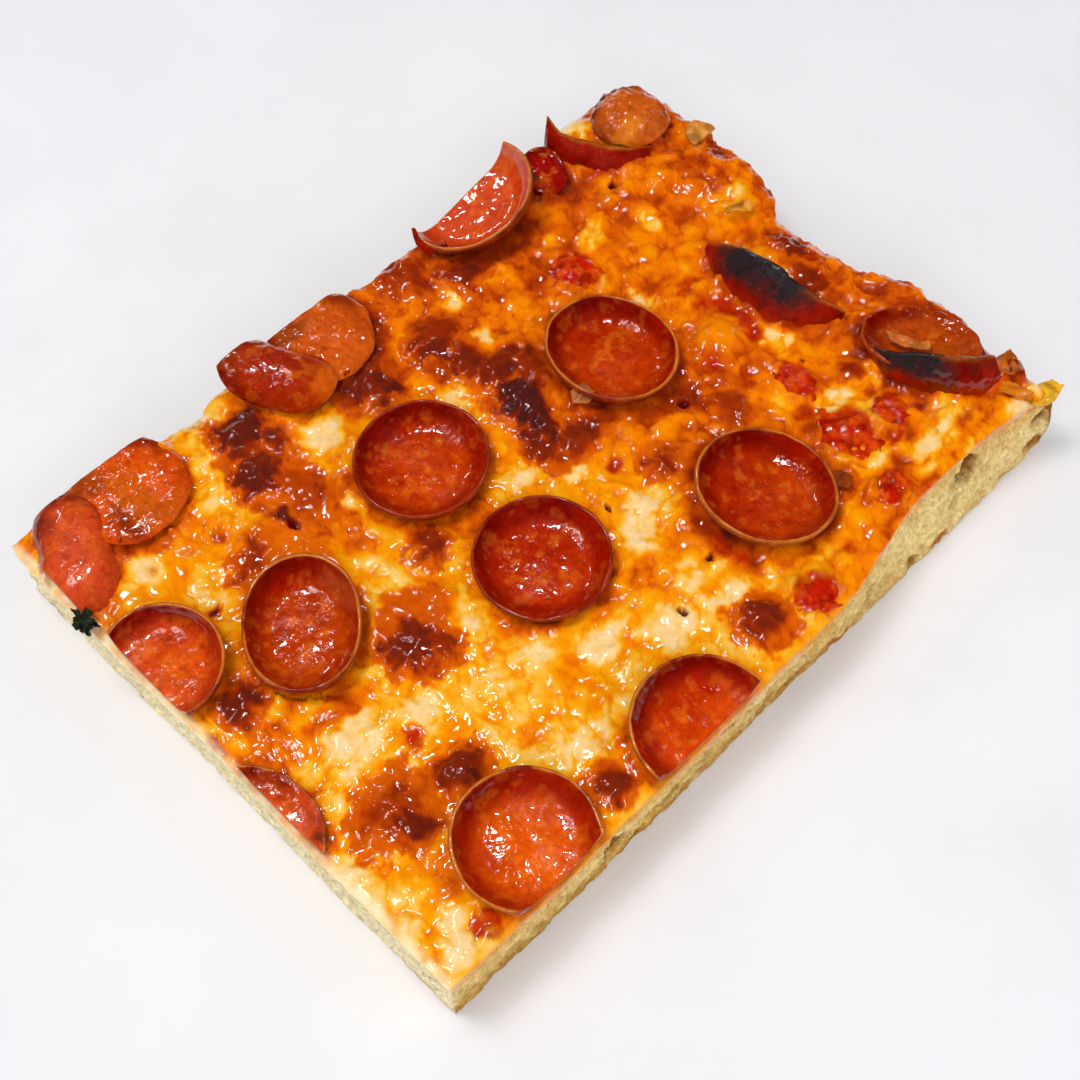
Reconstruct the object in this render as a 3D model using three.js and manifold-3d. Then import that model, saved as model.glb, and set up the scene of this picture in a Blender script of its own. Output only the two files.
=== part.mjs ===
// A rectangular slice of pan-baked pepperoni pizza, in millimetres, +Z up.
// X runs from the cut short side to the crust that stood against the pan, Y from the front cut
// to the back cut. The bread stands on z = 0, and sauce, cheese and toppings lie on it in layers.
import * as THREE from "three";
import { mergeVertices } from "three/addons/utils/BufferGeometryUtils.js";
import Module from "manifold-3d";

const wasm = await Module();
wasm.setup();

// ---------------------------------------------------------------- driving dimensions

const CUT_LEFT = -83;
const CUT_FRONT = -60;
const CUT_BACK = 60;
const GAP = 0.35; // clear space between neighbouring pieces

const BREAD_TOP = 15;
const SAUCE_THICKNESS = 1;
const SAUCE_BOTTOM = BREAD_TOP + GAP;
const CHEESE_BOTTOM = SAUCE_BOTTOM + SAUCE_THICKNESS + GAP;
const CHEESE_TOP = 19;
const TOPPING_FLOOR = CHEESE_BOTTOM + 0.4; // toppings are pressed no deeper into the cheese

const MEAT_THICKNESS = 1.7; // in the middle of a slice; the curled rim is thinner
const RIM_THINNING = 0.5;

// ---------------------------------------------------------------- outlines, seen from above

const curve2 = (points) => new THREE.SplineCurve(points.map(([x, y]) => new THREE.Vector2(x, y)));

// The cheese stops short of the front cut at the pan end, and its fried edge is ragged there.
const CHEESE_EDGES = {
  front: curve2([[-83.4, -60], [-40, -60.1], [0, -59.8], [18, -59.6], [32, -57.2],
    [45, -54.8], [64, -54.8], [75, -56], [84.5, -57.5]]),
  right: curve2([[84.5, -57.5], [84, -53], [86.6, -48], [83.6, -43.5], [86.4, -34], [86, -21],
    [83, -15], [80.8, -8], [79.8, 4], [80.2, 10], [84, 15], [86.3, 20], [87, 30], [87.6, 34.5],
    [90.5, 36.5], [87.8, 39.5], [87.3, 46], [86.4, 52], [82.5, 60]]),
  back: curve2([[-83.2, 59.4], [-74, 59.8], [-58, 59.8], [-45, 57.5], [-40.4, 54.8],
    [-36.5, 58.3], [-20, 59.6], [0, 59.4], [8, 58.4], [19, 58.9], [40, 59.2], [60, 59.8],
    [72, 60], [82.5, 60]]),
  left: curve2([[-83.4, -60], [-83.8, -30], [-83.3, 0], [-83.7, 30], [-84, 52], [-83.2, 59.4]]),
};
const BREAD_EDGES = {
  front: curve2([[CUT_LEFT, CUT_FRONT], [-40, -60.2], [0, -59.8], [40, -60.2], [86.8, -60]]),
  right: curve2([[86.8, -60], [86.2, -45], [86.8, -30], [84, -15], [82, -3], [82, 8], [85, 18],
    [87, 28], [87.6, 42], [86.8, 52], [84, CUT_BACK]]),
  back: curve2([[CUT_LEFT, CUT_BACK], [-40, 59.8], [0, 60.2], [40, 59.8], [84, CUT_BACK]]),
  left: curve2([[CUT_LEFT, CUT_FRONT], [-83.3, -30], [-82.8, 0], [-83.3, 30],
    [CUT_LEFT, CUT_BACK]]),
};
const PAN_CRUST_INSET = [[0, 2.6], [1.2, 1], [4.5, 0], [10, 0.4], [BREAD_TOP, 1.6]];
const BREAD_LEVELS = PAN_CRUST_INSET.map(([z]) => z);
const FRONT_SLANT = [[15, 0], [45, 5.2], [68, 5.2], [86.8, 2.2]]; // the cut leans back here

// ---------------------------------------------------------------- toppings

// A slice of meat is a disc that curls up, or down, towards its rim. size is its flat radius, floor
// the share that stays flat, and bend the angle its rim turns through. oval makes that angle larger
// along ovalAt, side makes it larger at sideAt, and squash widens the disc along squashAt. lean
// lifts the side named by toward.
const SLICES = {
  pepperoni_01: { x: 27.7, y: 9.4, z: 18.9, size: 15.3, floor: 0.48, bend: 78, lean: 2,
    toward: 200, squash: -0.05 },
  pepperoni_02: { x: -16.9, y: 17.2, z: 18.7, size: 15, floor: 0.5, bend: 75, lean: 2,
    toward: 45, squash: 0.02 },
  pepperoni_03: { x: -15.9, y: -14.4, z: 18.7, size: 14.7, floor: 0.5, bend: 68, lean: 2,
    toward: 45 },
  pepperoni_04: { x: 24.8, y: -33.8, z: 18.9, size: 15.4, floor: 0.48, bend: 72, lean: 5,
    toward: 200, squash: -0.04 },
  pepperoni_05: { x: -56.8, y: 6.2, z: 18.8, size: 15.1, floor: 0.42, bend: 88, lean: 4,
    toward: 30, squash: 0.16, squashAt: 49, oval: 0.1, ovalAt: 45 },
  pepperoni_06: { x: -79.9, y: 18.5, z: 18.9, size: 13.6, floor: 0.5, bend: 78, lean: 4, toward: 0 },
  pepperoni_07: { x: -91.5, y: -17.3, z: 19, size: 14.6, floor: 0.7, bend: 40 },
  pepperoni_08: { x: -57.4, y: -51.4, z: 18.8, size: 14.9, floor: 0.48, bend: 72, lean: 3,
    toward: 90 },
  pepperoni_09: { x: -19.9, y: -58.8, z: 18.8, size: 15.2, floor: 0.5, bend: 66, lean: 3,
    toward: 90 },
  pepperoni_10: { x: -76, y: 49.2, z: 21.9, size: 10.9, floor: 0.3, bend: -48, lean: 3,
    toward: 60, squash: 0.34, squashAt: 59 },
  pepperoni_11: { x: -61, y: 53, z: 20.9, size: 12.2, floor: 0.7, bend: -20 },
  pepperoni_12: { x: -23.4, y: 51.4, z: 25.2, size: 10.4, floor: 0.12, bend: -46, lean: 7,
    toward: 120, squash: 0.17, squashAt: 120, oval: 0.57, ovalAt: 30 },
  pepperoni_13: { x: -10.8, y: 53.6, z: 21.2, size: 11.5, floor: 0.7, bend: -24 },
  pepperoni_14: { x: 35.4, y: 56.4, z: 20.7, size: 16.2, floor: 0.5, bend: 85, lean: 17,
    toward: -28, squash: 0.04 },
  pepperoni_16: { x: 76.4, y: 50.3, z: 24.6, size: 9.4, floor: 0.2, bend: -52 },
  pepperoni_17: { x: 52.2, y: 52.6, z: 21.2, size: 5.6, floor: 0.3, bend: 20, lean: 12,
    toward: 110, squash: 0.12, squashAt: 60 },
  pepperoni_19: { x: 74, y: -33, z: 19.2, size: 11.3, floor: 0.35, bend: 38, lean: 6,
    toward: 220, squash: 0.14, squashAt: 120, side: 0.35, sideAt: 220 },
};
const OPEN_CUPS = ["01", "02", "03", "04", "05", "06", "08", "09", "14", "19"]
  .map((number) => "pepperoni_" + number);

// A blade is the upright wall of a slice whose far side is buried or lies flat: a strip between the
// line where it leaves the cheese and its rim, bowed outwards. bulge is how far, bulgeToward which
// way. Where a slice has the same name, the blade is its wall.
const BLADES = {
  pepperoni_15: { bulge: 0.9, bulgeToward: 215,
    foot: [[58.2, 58.4, 20], [58.6, 53, 18.2], [61, 46.5, 18], [66, 41.6, 18], [74, 41.2, 18]],
    rim: [[60, 59.4, 27.4], [60.6, 55, 24.8], [64, 50, 23.4], [68, 45.2, 22.6], [74.4, 42, 21]] },
  pepperoni_18: { bulge: 1.1, bulgeToward: 190,
    foot: [[62.4, 14.4, 18.6], [58.4, 9, 18], [57.2, 0, 18], [58.4, -9, 18], [68.4, -17, 18.2]],
    rim: [[63.2, 15.2, 20.6], [64, 7.4, 24.6], [64.4, -1.4, 26.6], [65.4, -9, 25],
      [69.2, -17.2, 21.4]] },
  pepperoni_19: { bulge: 1.3, bulgeToward: 225,
    foot: [[65.2, -26.5, 19], [64.9, -33, 18.4], [66.4, -38.8, 18.4], [70.4, -45, 18.4],
      [75, -48.4, 18.6], [80, -49.4, 19]],
    rim: [[66.6, -24.2, 21.2], [64.6, -28.6, 23.2], [66.7, -34.4, 25.6], [70.6, -40, 26.8],
      [75, -43.4, 25.8], [80.2, -46, 23.2]] },
};
const SHRED = { points: [[24, 53.6, 20.6], [20.6, 54.2, 20.6], [19.4, 56.6, 22.6], [19.3, 58, 26]],
  thick: 1.5, thin: 0.45 }; // a curl torn from the rim of the half slice at the back

// Pieces of tomato that push up through the cheese: place, half lengths, turn in degrees.
const TOMATOES = {
  tomato_01: { x: 47.6, y: -36.4, rx: 6.6, ry: 6.6, turn: 30, top: 20.6 },
  tomato_02: { x: 50, y: -20.4, rx: 3.4, ry: 5, turn: 10, top: 20.9 },
  tomato_03: { x: 15.4, y: -54.6, rx: 5, ry: 4.6, turn: 0, top: 20.4 },
  tomato_04: { x: 38.8, y: 30, rx: 4.4, ry: 6, turn: 15, top: 20.7 },
  tomato_05: { x: 43.4, y: -50, rx: 4.6, ry: 3.8, turn: 0, top: 20.4 },
  tomato_06: { x: 57.8, y: -38.4, rx: 3.6, ry: 4, turn: 0, top: 20.5 },
};

// A scorched leaf folded over the left cut, as lobes round a middle point.
const LEAF = { x: -83.9, y: 35.2, z: 20.9, length: 3.9, width: 2.5, thickness: 0.5, lobes: 5,
  lobeDepth: 0.22, wave: 0.35, foldX: -84.4, slope: 1.5 };

// Relief of the baked cheese: place, half lengths and height. Broad swells come first, then the
// edge of a slice that the cheese covers, then the blisters.
const SWELLS = [
  [72, 0, 9, 17, 2.4], [78, 28, 12, 15, 2.2], [80, -24, 9, 12, 1.6], [77, 51, 13, 13, 2.6],
  [44, 53, 12, 8, 1.6], [66, 36, 16, 12, 1], [-66, 48, 8, 9, 1.2], [10, 20, 16, 22, 0.8],
];
const BLISTERS = [
  [-48.5, 15.5, 15, 14, 1.2], [-40.8, -6.4, 10, 9.5, 1.6], [-37, 45.5, 7, 6, 2.4],
  [-39.5, 36.5, 6, 6, 2.1], [-11, 38, 6, 7.5, 2], [5.5, 34, 7, 8, 2.3], [6.5, 13, 8, 12, 3],
  [12.5, 20, 7, 7, 2.2], [-26.5, 3, 4.5, 4.5, 1.2], [-73, 2, 5, 5, 1.4], [-69, -32, 8, 7, 2.4],
  [-55, -33, 6, 5, 2.2], [3.5, -51.5, 6.5, 5.5, 2.4], [-39, -54.5, 5, 4.5, 1.5],
  [15.5, -13.7, 5, 5, 1.3], [35, -14.5, 5, 4.5, 1.3], [58, -26, 5, 5, 1.1],
  [12, 53, 10, 6, 2], [47.3, -2, 6.5, 6.5, 2.4], [37.5, -42.5, 4, 3, 1.6],
];
const BREAD_HOLES = [
  { x: 60.5, y: -57.4, z: 9.6, rx: 5.2, ry: 3, rz: 2 },
  { x: -43, y: -60.4, z: 8.2, rx: 3, ry: 2.2, rz: 3.4 },
  { x: -28, y: -60.4, z: 5.6, rx: 4.4, ry: 1.8, rz: 1.7 },
  { x: 8, y: 60.4, z: 8, rx: 5, ry: 2.6, rz: 2.2 },
  { x: -46, y: 60.4, z: 6.4, rx: 3.4, ry: 2, rz: 1.8 },
];

// ---------------------------------------------------------------- helpers

const radians = THREE.MathUtils.degToRad;

// The value at x of a smooth line through [x, value] pairs, level beyond its ends.
function along(pairs, x) {
  const after = pairs.findIndex(([at]) => at >= x);
  if (after === 0) return pairs[0][1];
  if (after < 0) return pairs[pairs.length - 1][1];
  const [x0, value0] = pairs[after - 1];
  const [x1, value1] = pairs[after];
  return THREE.MathUtils.lerp(value0, value1, THREE.MathUtils.smoothstep(x, x0, x1));
}

// A gentle unevenness between about -1 and 1.
function ripple(a, b) {
  return (Math.sin(0.47 * a + 0.31 * b) + Math.sin(0.83 * b - 0.29 * a + 1.7)
    + Math.sin(0.19 * a - 0.57 * b + 4.1)) / 3;
}

function meshGeometry(points, faces) {
  const geometry = new THREE.BufferGeometry();
  geometry.setAttribute("position", new THREE.Float32BufferAttribute(points.flat(), 3));
  geometry.setIndex(faces.flat());
  return geometry;
}

function solidFrom(geometry) {
  const bare = new THREE.BufferGeometry();
  bare.setAttribute("position", geometry.getAttribute("position"));
  bare.setIndex(geometry.getIndex());
  const merged = mergeVertices(bare, 1e-3);
  return new wasm.Manifold(new wasm.Mesh({
    numProp: 3,
    vertProperties: merged.attributes.position.array,
    triVerts: new Uint32Array(merged.index.array),
  }));
}

// The largest body of a solid, as a geometry.
function geometryFrom(solid) {
  const body = solid.decompose().reduce((a, b) => (b.volume() > a.volume() ? b : a));
  const { numProp, vertProperties, triVerts } = body.getMesh();
  const positions = [];
  for (let i = 0; i < vertProperties.length; i += numProp) {
    positions.push([...vertProperties.slice(i, i + 3)]);
  }
  const faces = [];
  for (let i = 0; i < triVerts.length; i += 3) faces.push([...triVerts.slice(i, i + 3)]);
  return meshGeometry(positions, faces);
}

// Two triangles for each cell between two rows of point numbers.
function strip(lower, upper, closed) {
  const faces = [];
  const cells = closed ? lower.length : lower.length - 1;
  for (let i = 0; i < cells; i++) {
    const j = (i + 1) % lower.length;
    faces.push([lower[i], lower[j], upper[j]], [lower[i], upper[j], upper[i]]);
  }
  return faces;
}

const numbers = (count, from) => Array.from({ length: count }, (_, i) => from + i);

// The faces between closed rows of point numbers. A row may repeat one point, as the end of a form.
function bands(rows) {
  return rows.slice(1).flatMap((row, i) => strip(rows[i], row, true))
    .filter(([a, b, c]) => a !== b && b !== c && a !== c);
}

// The numbers round the border of a grid of point numbers.
const border = (rows) => [...rows[0], ...rows.slice(1).map((row) => row.at(-1)),
  ...rows.at(-1).slice(0, -1).reverse(), ...rows.slice(1, -1).map((row) => row[0]).reverse()];

// A flat lid over a loop of points that runs anticlockwise seen from above.
function lid(loop, first, facesUp) {
  const outline = loop.map(([x, y]) => new THREE.Vector2(x, y));
  return THREE.ShapeUtils.triangulateShape(outline, []).map(([a, b, c]) =>
    facesUp ? [first + a, first + b, first + c] : [first + a, first + c, first + b]);
}

// A closed body over loops stacked from bottom to top.
function stack(loops) {
  const size = loops[0].length;
  const faces = [...lid(loops[0], 0, false), ...lid(loops.at(-1), size * (loops.length - 1), true)];
  for (let i = 1; i < loops.length; i++) {
    faces.push(...strip(numbers(size, (i - 1) * size), numbers(size, i * size), true));
  }
  return meshGeometry(loops.flat(), faces);
}

// Points round four edges, anticlockwise, each with the name of its side.
function perimeter(edges, longCount, shortCount) {
  const walk = (side, count, backwards) => numbers(count, 0).map((i) => {
    const t = backwards ? 1 - i / count : i / count;
    const { x, y } = edges[side].getPointAt(t);
    return { x, y, side };
  });
  return [...walk("front", longCount, false), ...walk("right", shortCount, false),
    ...walk("back", longCount, true), ...walk("left", shortCount, true)];
}

// ---------------------------------------------------------------- bread and sauce

function breadPoint({ x, y, side }, z) {
  const crumb = 0.45 * ripple(3 * (x + y), 5 * z);
  const share = z / BREAD_TOP;
  if (side === "front") return [x, y + along(FRONT_SLANT, x) * share ** 1.3 + crumb, z];
  if (side === "back") return [x, y - crumb, z];
  if (side === "left") return [x + crumb, y, z];
  return [x - along(PAN_CRUST_INSET, z) + crumb, y, z];
}

function breadGeometry() {
  const outline = perimeter(BREAD_EDGES, 30, 20);
  let bread = solidFrom(stack(BREAD_LEVELS.map((z) => outline.map((p) => breadPoint(p, z)))));
  for (const { x, y, z, rx, ry, rz } of BREAD_HOLES) {
    const hole = new THREE.SphereGeometry(1, 8, 6).scale(rx, ry, rz).translate(x, y, z);
    bread = bread.subtract(solidFrom(hole));
  }
  return geometryFrom(bread);
}

function sauceGeometry() {
  const inset = 0.7;
  const raggedness = 0.5;
  const loop = (z) => perimeter(CHEESE_EDGES, 26, 20).map(({ x, y }) => {
    const keep = 1 - (inset + raggedness * (1 + ripple(x, y))) / Math.hypot(x, y);
    return [x * keep, y * keep, z];
  });
  return stack([loop(SAUCE_BOTTOM), loop(SAUCE_BOTTOM + SAUCE_THICKNESS)]);
}

// ---------------------------------------------------------------- meat

function placed(slice, point) {
  const { x, y, z, lean = 0, toward = 0 } = slice;
  const axis = new THREE.Vector3(Math.sin(radians(toward)), -Math.cos(radians(toward)), 0);
  return point.applyAxisAngle(axis, radians(lean)).add(new THREE.Vector3(x, y, z));
}

// A point of a slice: share runs from its middle to its rim, offset is the distance above the
// middle of its thickness, and rise lifts the point along the slice's own axis.
function slicePoint(slice, share, angle, offset, rise = 0) {
  const { size, floor, bend, squash = 0, squashAt = 0 } = slice;
  const { oval = 0, ovalAt = 0, side = 0, sideAt = 0 } = slice;
  const turn = radians(bend) * (1 + oval * Math.cos(2 * (angle - radians(ovalAt)))
    + side * Math.cos(angle - radians(sideAt)));
  const flat = floor * size;
  const radius = (size - flat) / turn;
  const slope = Math.max(share * size - flat, 0) / radius;
  const out = Math.min(share * size, flat) + radius * Math.sin(slope);
  const widened = out * (1 + squash * Math.cos(2 * (angle - radians(squashAt))));
  const up = radius * (1 - Math.cos(slope)) + rise;
  const reach = widened - offset * Math.sin(slope);
  return placed(slice, new THREE.Vector3(
    reach * Math.cos(angle), reach * Math.sin(angle), up + offset * Math.cos(slope))).toArray();
}

const SEGMENTS = 20;
const SHARES = [0, 0.5, 0.76, 1]; // rings of a slice, from its middle to its rim

// rings holds [share, offset, rise] rows, from the middle underneath round to the middle on top.
function ringBody(slice, rings) {
  const points = [];
  const rows = rings.map(([share, offset, rise]) => {
    const count = share === 0 ? 1 : SEGMENTS;
    const first = points.length;
    for (let i = 0; i < count; i++) {
      points.push(slicePoint(slice, share, (2 * Math.PI * i) / SEGMENTS, offset, rise));
    }
    return count === 1 ? Array(SEGMENTS).fill(first) : numbers(SEGMENTS, first);
  });
  return meshGeometry(points, bands(rows));
}

const halfThickness = (share) => (MEAT_THICKNESS - RIM_THINNING * share) / 2;

function sliceGeometry(slice) {
  const under = SHARES.map((share) => [share, -halfThickness(share), 0]);
  const over = SHARES.map((share) => [share, halfThickness(share), 0]).reverse();
  return ringBody(slice, [...under, ...over]);
}

// The room that a slice takes in the cheese: its own form grown by the gap, and for an open cup
// everything above it too.
function sliceRoom(slice, open) {
  const columnHeight = 12;
  const wider = { ...slice, size: slice.size + GAP };
  const grown = (share) => halfThickness(share) + GAP;
  const under = SHARES.map((share) => [share, -grown(share), 0]);
  const over = open
    ? [[1, -grown(1), columnHeight], [0, 0, columnHeight]]
    : SHARES.map((share) => [share, grown(share), 0]).reverse();
  return ringBody(wider, [...under, ...over]);
}

// A closed strip of even thickness over a grid of points, given by a function of two shares.
function sheetGeometry(pointAt, across, up, thickness) {
  const step = 1e-3;
  const points = [];
  const layer = (side) => numbers(up + 1, 0).map((j) => numbers(across + 1, 0).map((i) => {
    const [u, v] = [i / across, j / up];
    const middle = pointAt(u, v);
    const du = pointAt(u + step, v).sub(pointAt(u - step, v));
    const dv = pointAt(u, v + step).sub(pointAt(u, v - step));
    const normal = du.cross(dv).normalize();
    points.push(middle.addScaledVector(normal, (side * thickness) / 2).toArray());
    return points.length - 1;
  }));
  const front = layer(1);
  const back = layer(-1);
  const faces = front.slice(1).flatMap((row, j) => strip(front[j], row, false));
  faces.push(...back.slice(1).flatMap((row, j) => strip(row, back[j], false)));
  faces.push(...strip(border(back), border(front), true));
  return meshGeometry(points, faces);
}

function bladeGeometry({ foot, rim, bulge, bulgeToward }, grow = 0) {
  const curve3 = (points) => new THREE.CatmullRomCurve3(points.map((p) => new THREE.Vector3(...p)));
  const [low, high] = [curve3(foot), curve3(rim)];
  const turn = radians(bulgeToward);
  const outwards = new THREE.Vector3(Math.cos(turn), Math.sin(turn), 0);
  const beyond = (curve, t) => {
    const inside = THREE.MathUtils.clamp(t, 0, 1);
    const further = (t - inside) * curve.getLength();
    return curve.getPoint(inside).addScaledVector(curve.getTangent(inside), further);
  };
  const pointAt = (u, v) => {
    const wideU = 0.5 + (u - 0.5) * (1 + 2 * grow / high.getLength());
    const [bottom, top] = [beyond(low, wideU), beyond(high, wideU)];
    const wideV = v + (v - 0.5) * 2 * grow / bottom.distanceTo(top);
    const bow = bulge * Math.sin(Math.PI * THREE.MathUtils.clamp(v, 0, 1));
    return bottom.lerp(top, wideV).addScaledVector(outwards, bow);
  };
  return sheetGeometry(pointAt, 12, 3, MEAT_THICKNESS - RIM_THINNING + 2 * grow);
}

// A tapering rod through points, with a closed end at each side.
function shredGeometry({ points, thick, thin }) {
  const sides = 6;
  const steps = 6;
  const curve = new THREE.CatmullRomCurve3(points.map((p) => new THREE.Vector3(...p)));
  const { normals, binormals } = curve.computeFrenetFrames(steps, false);
  const positions = [curve.getPointAt(0).toArray()];
  const rows = [Array(sides).fill(0)];
  numbers(steps + 1, 0).forEach((i) => {
    const radius = THREE.MathUtils.lerp(thick, thin, i / steps);
    rows.push(numbers(sides, positions.length));
    numbers(sides, 0).forEach((k) => {
      const angle = (2 * Math.PI * k) / sides;
      positions.push(curve.getPointAt(i / steps)
        .addScaledVector(normals[i], radius * Math.cos(angle))
        .addScaledVector(binormals[i], radius * Math.sin(angle)).toArray());
    });
  });
  rows.push(Array(sides).fill(positions.length));
  positions.push(curve.getPointAt(1).toArray());
  return meshGeometry(positions, bands(rows));
}

// ---------------------------------------------------------------- tomato and leaf

function tomatoGeometry({ x, y, rx, ry, turn, top }, grow = 0) {
  const lumpiness = 0.09;
  const half = (top - TOPPING_FLOOR) / 2;
  const lump = new THREE.IcosahedronGeometry(1, 1);
  const place = lump.getAttribute("position");
  for (let i = 0; i < place.count; i++) {
    const p = new THREE.Vector3().fromBufferAttribute(place, i);
    const swell = 1 + lumpiness * ripple(7 * p.x + x, 7 * p.y + y + 3 * p.z);
    place.setXYZ(i, p.x * swell * (rx + grow), p.y * swell * (ry + grow), p.z * (half + grow));
  }
  lump.deleteAttribute("normal");
  lump.deleteAttribute("uv");
  return mergeVertices(lump.rotateZ(radians(turn)).translate(x, y, TOPPING_FLOOR + half), 1e-3);
}

function leafGeometry(grow = 0) {
  const { x, y, z, length, width, thickness, foldX, lobes, lobeDepth, wave, slope } = LEAF;
  const around = 14;
  const points = [];
  const ring = (share, side) => {
    const first = points.length;
    for (const i of numbers(share === 0 ? 1 : around, 0)) {
      const angle = (2 * Math.PI * i) / around;
      const reach = share * (1 + lobeDepth * Math.sin(lobes * angle)) + (share === 0 ? 0 : grow / width);
      const px = x + width * reach * Math.cos(angle);
      const py = y + length * reach * Math.sin(angle);
      const drop = slope * Math.max(foldX - px, 0);
      const lift = wave * share * Math.sin(3 * angle + 1);
      points.push([px, py, z - drop + lift + side * (thickness / 2 + grow)]);
    }
    return share === 0 ? Array(around).fill(first) : numbers(around, first);
  };
  const under = [0, 0.55, 1].map((share) => ring(share, -1));
  const over = [1, 0.55, 0].map((share) => ring(share, 1));
  return meshGeometry(points, bands([...under, ...over]));
}

// ---------------------------------------------------------------- cheese

function mound(x, y, [cx, cy, rx, ry, height], flatness) {
  const d = ((x - cx) / rx) ** 2 + ((y - cy) / ry) ** 2;
  return d < 1 ? height * (1 - d ** flatness) ** 2 : 0;
}

function cheeseHeight(x, y) {
  const swell = SWELLS.reduce((sum, m) => sum + mound(x, y, m, 1), 0);
  const blister = BLISTERS.reduce((highest, m) => Math.max(highest, mound(x, y, m, 1.6)), 0);
  return CHEESE_TOP + swell + blister + 0.3 * ripple(x, y);
}

// The point of the cheese's outline grid at shares u and v of its length and width, bent to meet
// all four edges.
function cheesePlace(u, v) {
  const { front, right, back, left } = CHEESE_EDGES;
  const [f, b] = [front.getPointAt(u), back.getPointAt(u)];
  const [l, r] = [left.getPointAt(v), right.getPointAt(v)];
  const [fl, fr, bl, br] = [front, back].flatMap((edge) => [edge.getPointAt(0), edge.getPointAt(1)]);
  const blend = (k) => (1 - v) * f[k] + v * b[k] + (1 - u) * l[k] + u * r[k]
    - (1 - u) * ((1 - v) * fl[k] + v * bl[k]) - u * ((1 - v) * fr[k] + v * br[k]);
  return [blend("x"), blend("y")];
}

function cheeseBlock() {
  const across = 36;
  const deep = 26;
  const edgeDrop = 0.7;
  const points = [];
  const rows = numbers(deep + 1, 0).map((j) => numbers(across + 1, 0).map((i) => {
    const [x, y] = cheesePlace(i / across, j / deep);
    const rim = i === 0 || j === 0 || i === across || j === deep;
    points.push([x, y, cheeseHeight(x, y) - (rim ? edgeDrop : 0)]);
    return points.length - 1;
  }));
  const faces = rows.slice(1).flatMap((row, j) => strip(rows[j], row, false));
  const ring = border(rows);
  const base = ring.map((n) => [points[n][0], points[n][1], CHEESE_BOTTOM]);
  const first = points.length;
  faces.push(...strip(numbers(base.length, first), ring, true), ...lid(base, first, false));
  return meshGeometry([...points, ...base], faces);
}

// ---------------------------------------------------------------- assembly

const KEPT_BOX = new THREE.Box3(
  new THREE.Vector3(CUT_LEFT, CUT_FRONT, TOPPING_FLOOR),
  new THREE.Vector3(100, CUT_BACK, 60));

function keptBlock() {
  const size = KEPT_BOX.getSize(new THREE.Vector3());
  const middle = KEPT_BOX.getCenter(new THREE.Vector3());
  const block = new THREE.BoxGeometry(size.x, size.y, size.z);
  return solidFrom(block.translate(middle.x, middle.y, middle.z));
}

function meatSolids() {
  const kept = keptBlock();
  const solids = {};
  const rooms = {};
  for (const [name, slice] of Object.entries(SLICES)) {
    solids[name] = solidFrom(sliceGeometry(slice)).intersect(kept);
    rooms[name] = solidFrom(sliceRoom(slice, OPEN_CUPS.includes(name)));
  }
  for (const [name, blade] of Object.entries(BLADES)) {
    const wall = solidFrom(bladeGeometry(blade)).intersect(kept);
    const room = solidFrom(bladeGeometry(blade, GAP));
    solids[name] = name in solids ? solids[name].add(wall) : wall;
    rooms[name] = name in rooms ? rooms[name].add(room) : room;
  }
  const shred = solidFrom(shredGeometry(SHRED));
  const { thick, thin } = SHRED;
  const shredRoom = solidFrom(shredGeometry({ ...SHRED, thick: thick + GAP, thin: thin + GAP }));
  solids.pepperoni_14 = solids.pepperoni_14.add(shred.intersect(kept));
  rooms.pepperoni_14 = rooms.pepperoni_14.add(shredRoom);
  solids.pepperoni_13 = solids.pepperoni_13.subtract(rooms.pepperoni_12);
  solids.pepperoni_11 = solids.pepperoni_11.subtract(rooms.pepperoni_10);
  solids.pepperoni_17 = solids.pepperoni_17.subtract(rooms.pepperoni_14).subtract(rooms.pepperoni_15);
  solids.pepperoni_16 = solids.pepperoni_16.subtract(rooms.pepperoni_15);
  return { solids, rooms };
}

function tomatoSolids(meatRooms) {
  const kept = keptBlock();
  const solids = {};
  const rooms = {};
  for (const [name, tomato] of Object.entries(TOMATOES)) {
    solids[name] = solidFrom(tomatoGeometry(tomato)).intersect(kept);
    for (const room of Object.values(meatRooms)) solids[name] = solids[name].subtract(room);
    rooms[name] = solidFrom(tomatoGeometry(tomato, GAP));
  }
  return { solids, rooms };
}

const food = new THREE.Group();

function addPiece(name, geometry, look) {
  const mesh = new THREE.Mesh(geometry, new THREE.MeshStandardMaterial(look));
  mesh.name = name;
  food.add(mesh);
}

const BREAD_LOOK = { color: 0xe6d3a0, roughness: 0.85 };
const SAUCE_LOOK = { color: 0xb5240c, roughness: 0.4 };
const CHEESE_LOOK = { color: 0xf0a020, roughness: 0.35 };
const MEAT_LOOK = { color: 0xa32008, roughness: 0.25 };
const LEAF_LOOK = { color: 0x1e3316, roughness: 0.6 };

const meat = meatSolids();
const tomato = tomatoSolids(meat.rooms);
let cheese = solidFrom(cheeseBlock());
for (const room of [...Object.values(meat.rooms), ...Object.values(tomato.rooms)]) {
  cheese = cheese.subtract(room);
}
cheese = cheese.subtract(solidFrom(leafGeometry(GAP)));

addPiece("bread", breadGeometry(), BREAD_LOOK);
addPiece("tomato_sauce", sauceGeometry(), SAUCE_LOOK);
addPiece("cheese", geometryFrom(cheese), CHEESE_LOOK);
for (const name of Object.keys(meat.solids).sort()) {
  addPiece(name, geometryFrom(meat.solids[name]), MEAT_LOOK);
}
for (const [name, solid] of Object.entries(tomato.solids)) {
  addPiece(name, geometryFrom(solid), SAUCE_LOOK);
}
addPiece("herb_leaf", leafGeometry(), LEAF_LOOK);

// The origin is the middle of the underside of the whole slice's box.
const pizzaSlice = new THREE.Group();
pizzaSlice.add(food);
const box = new THREE.Box3().setFromObject(food);
food.position.set(-(box.min.x + box.max.x) / 2, -(box.min.y + box.max.y) / 2, -box.min.z);

export default pizzaSlice;
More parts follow.
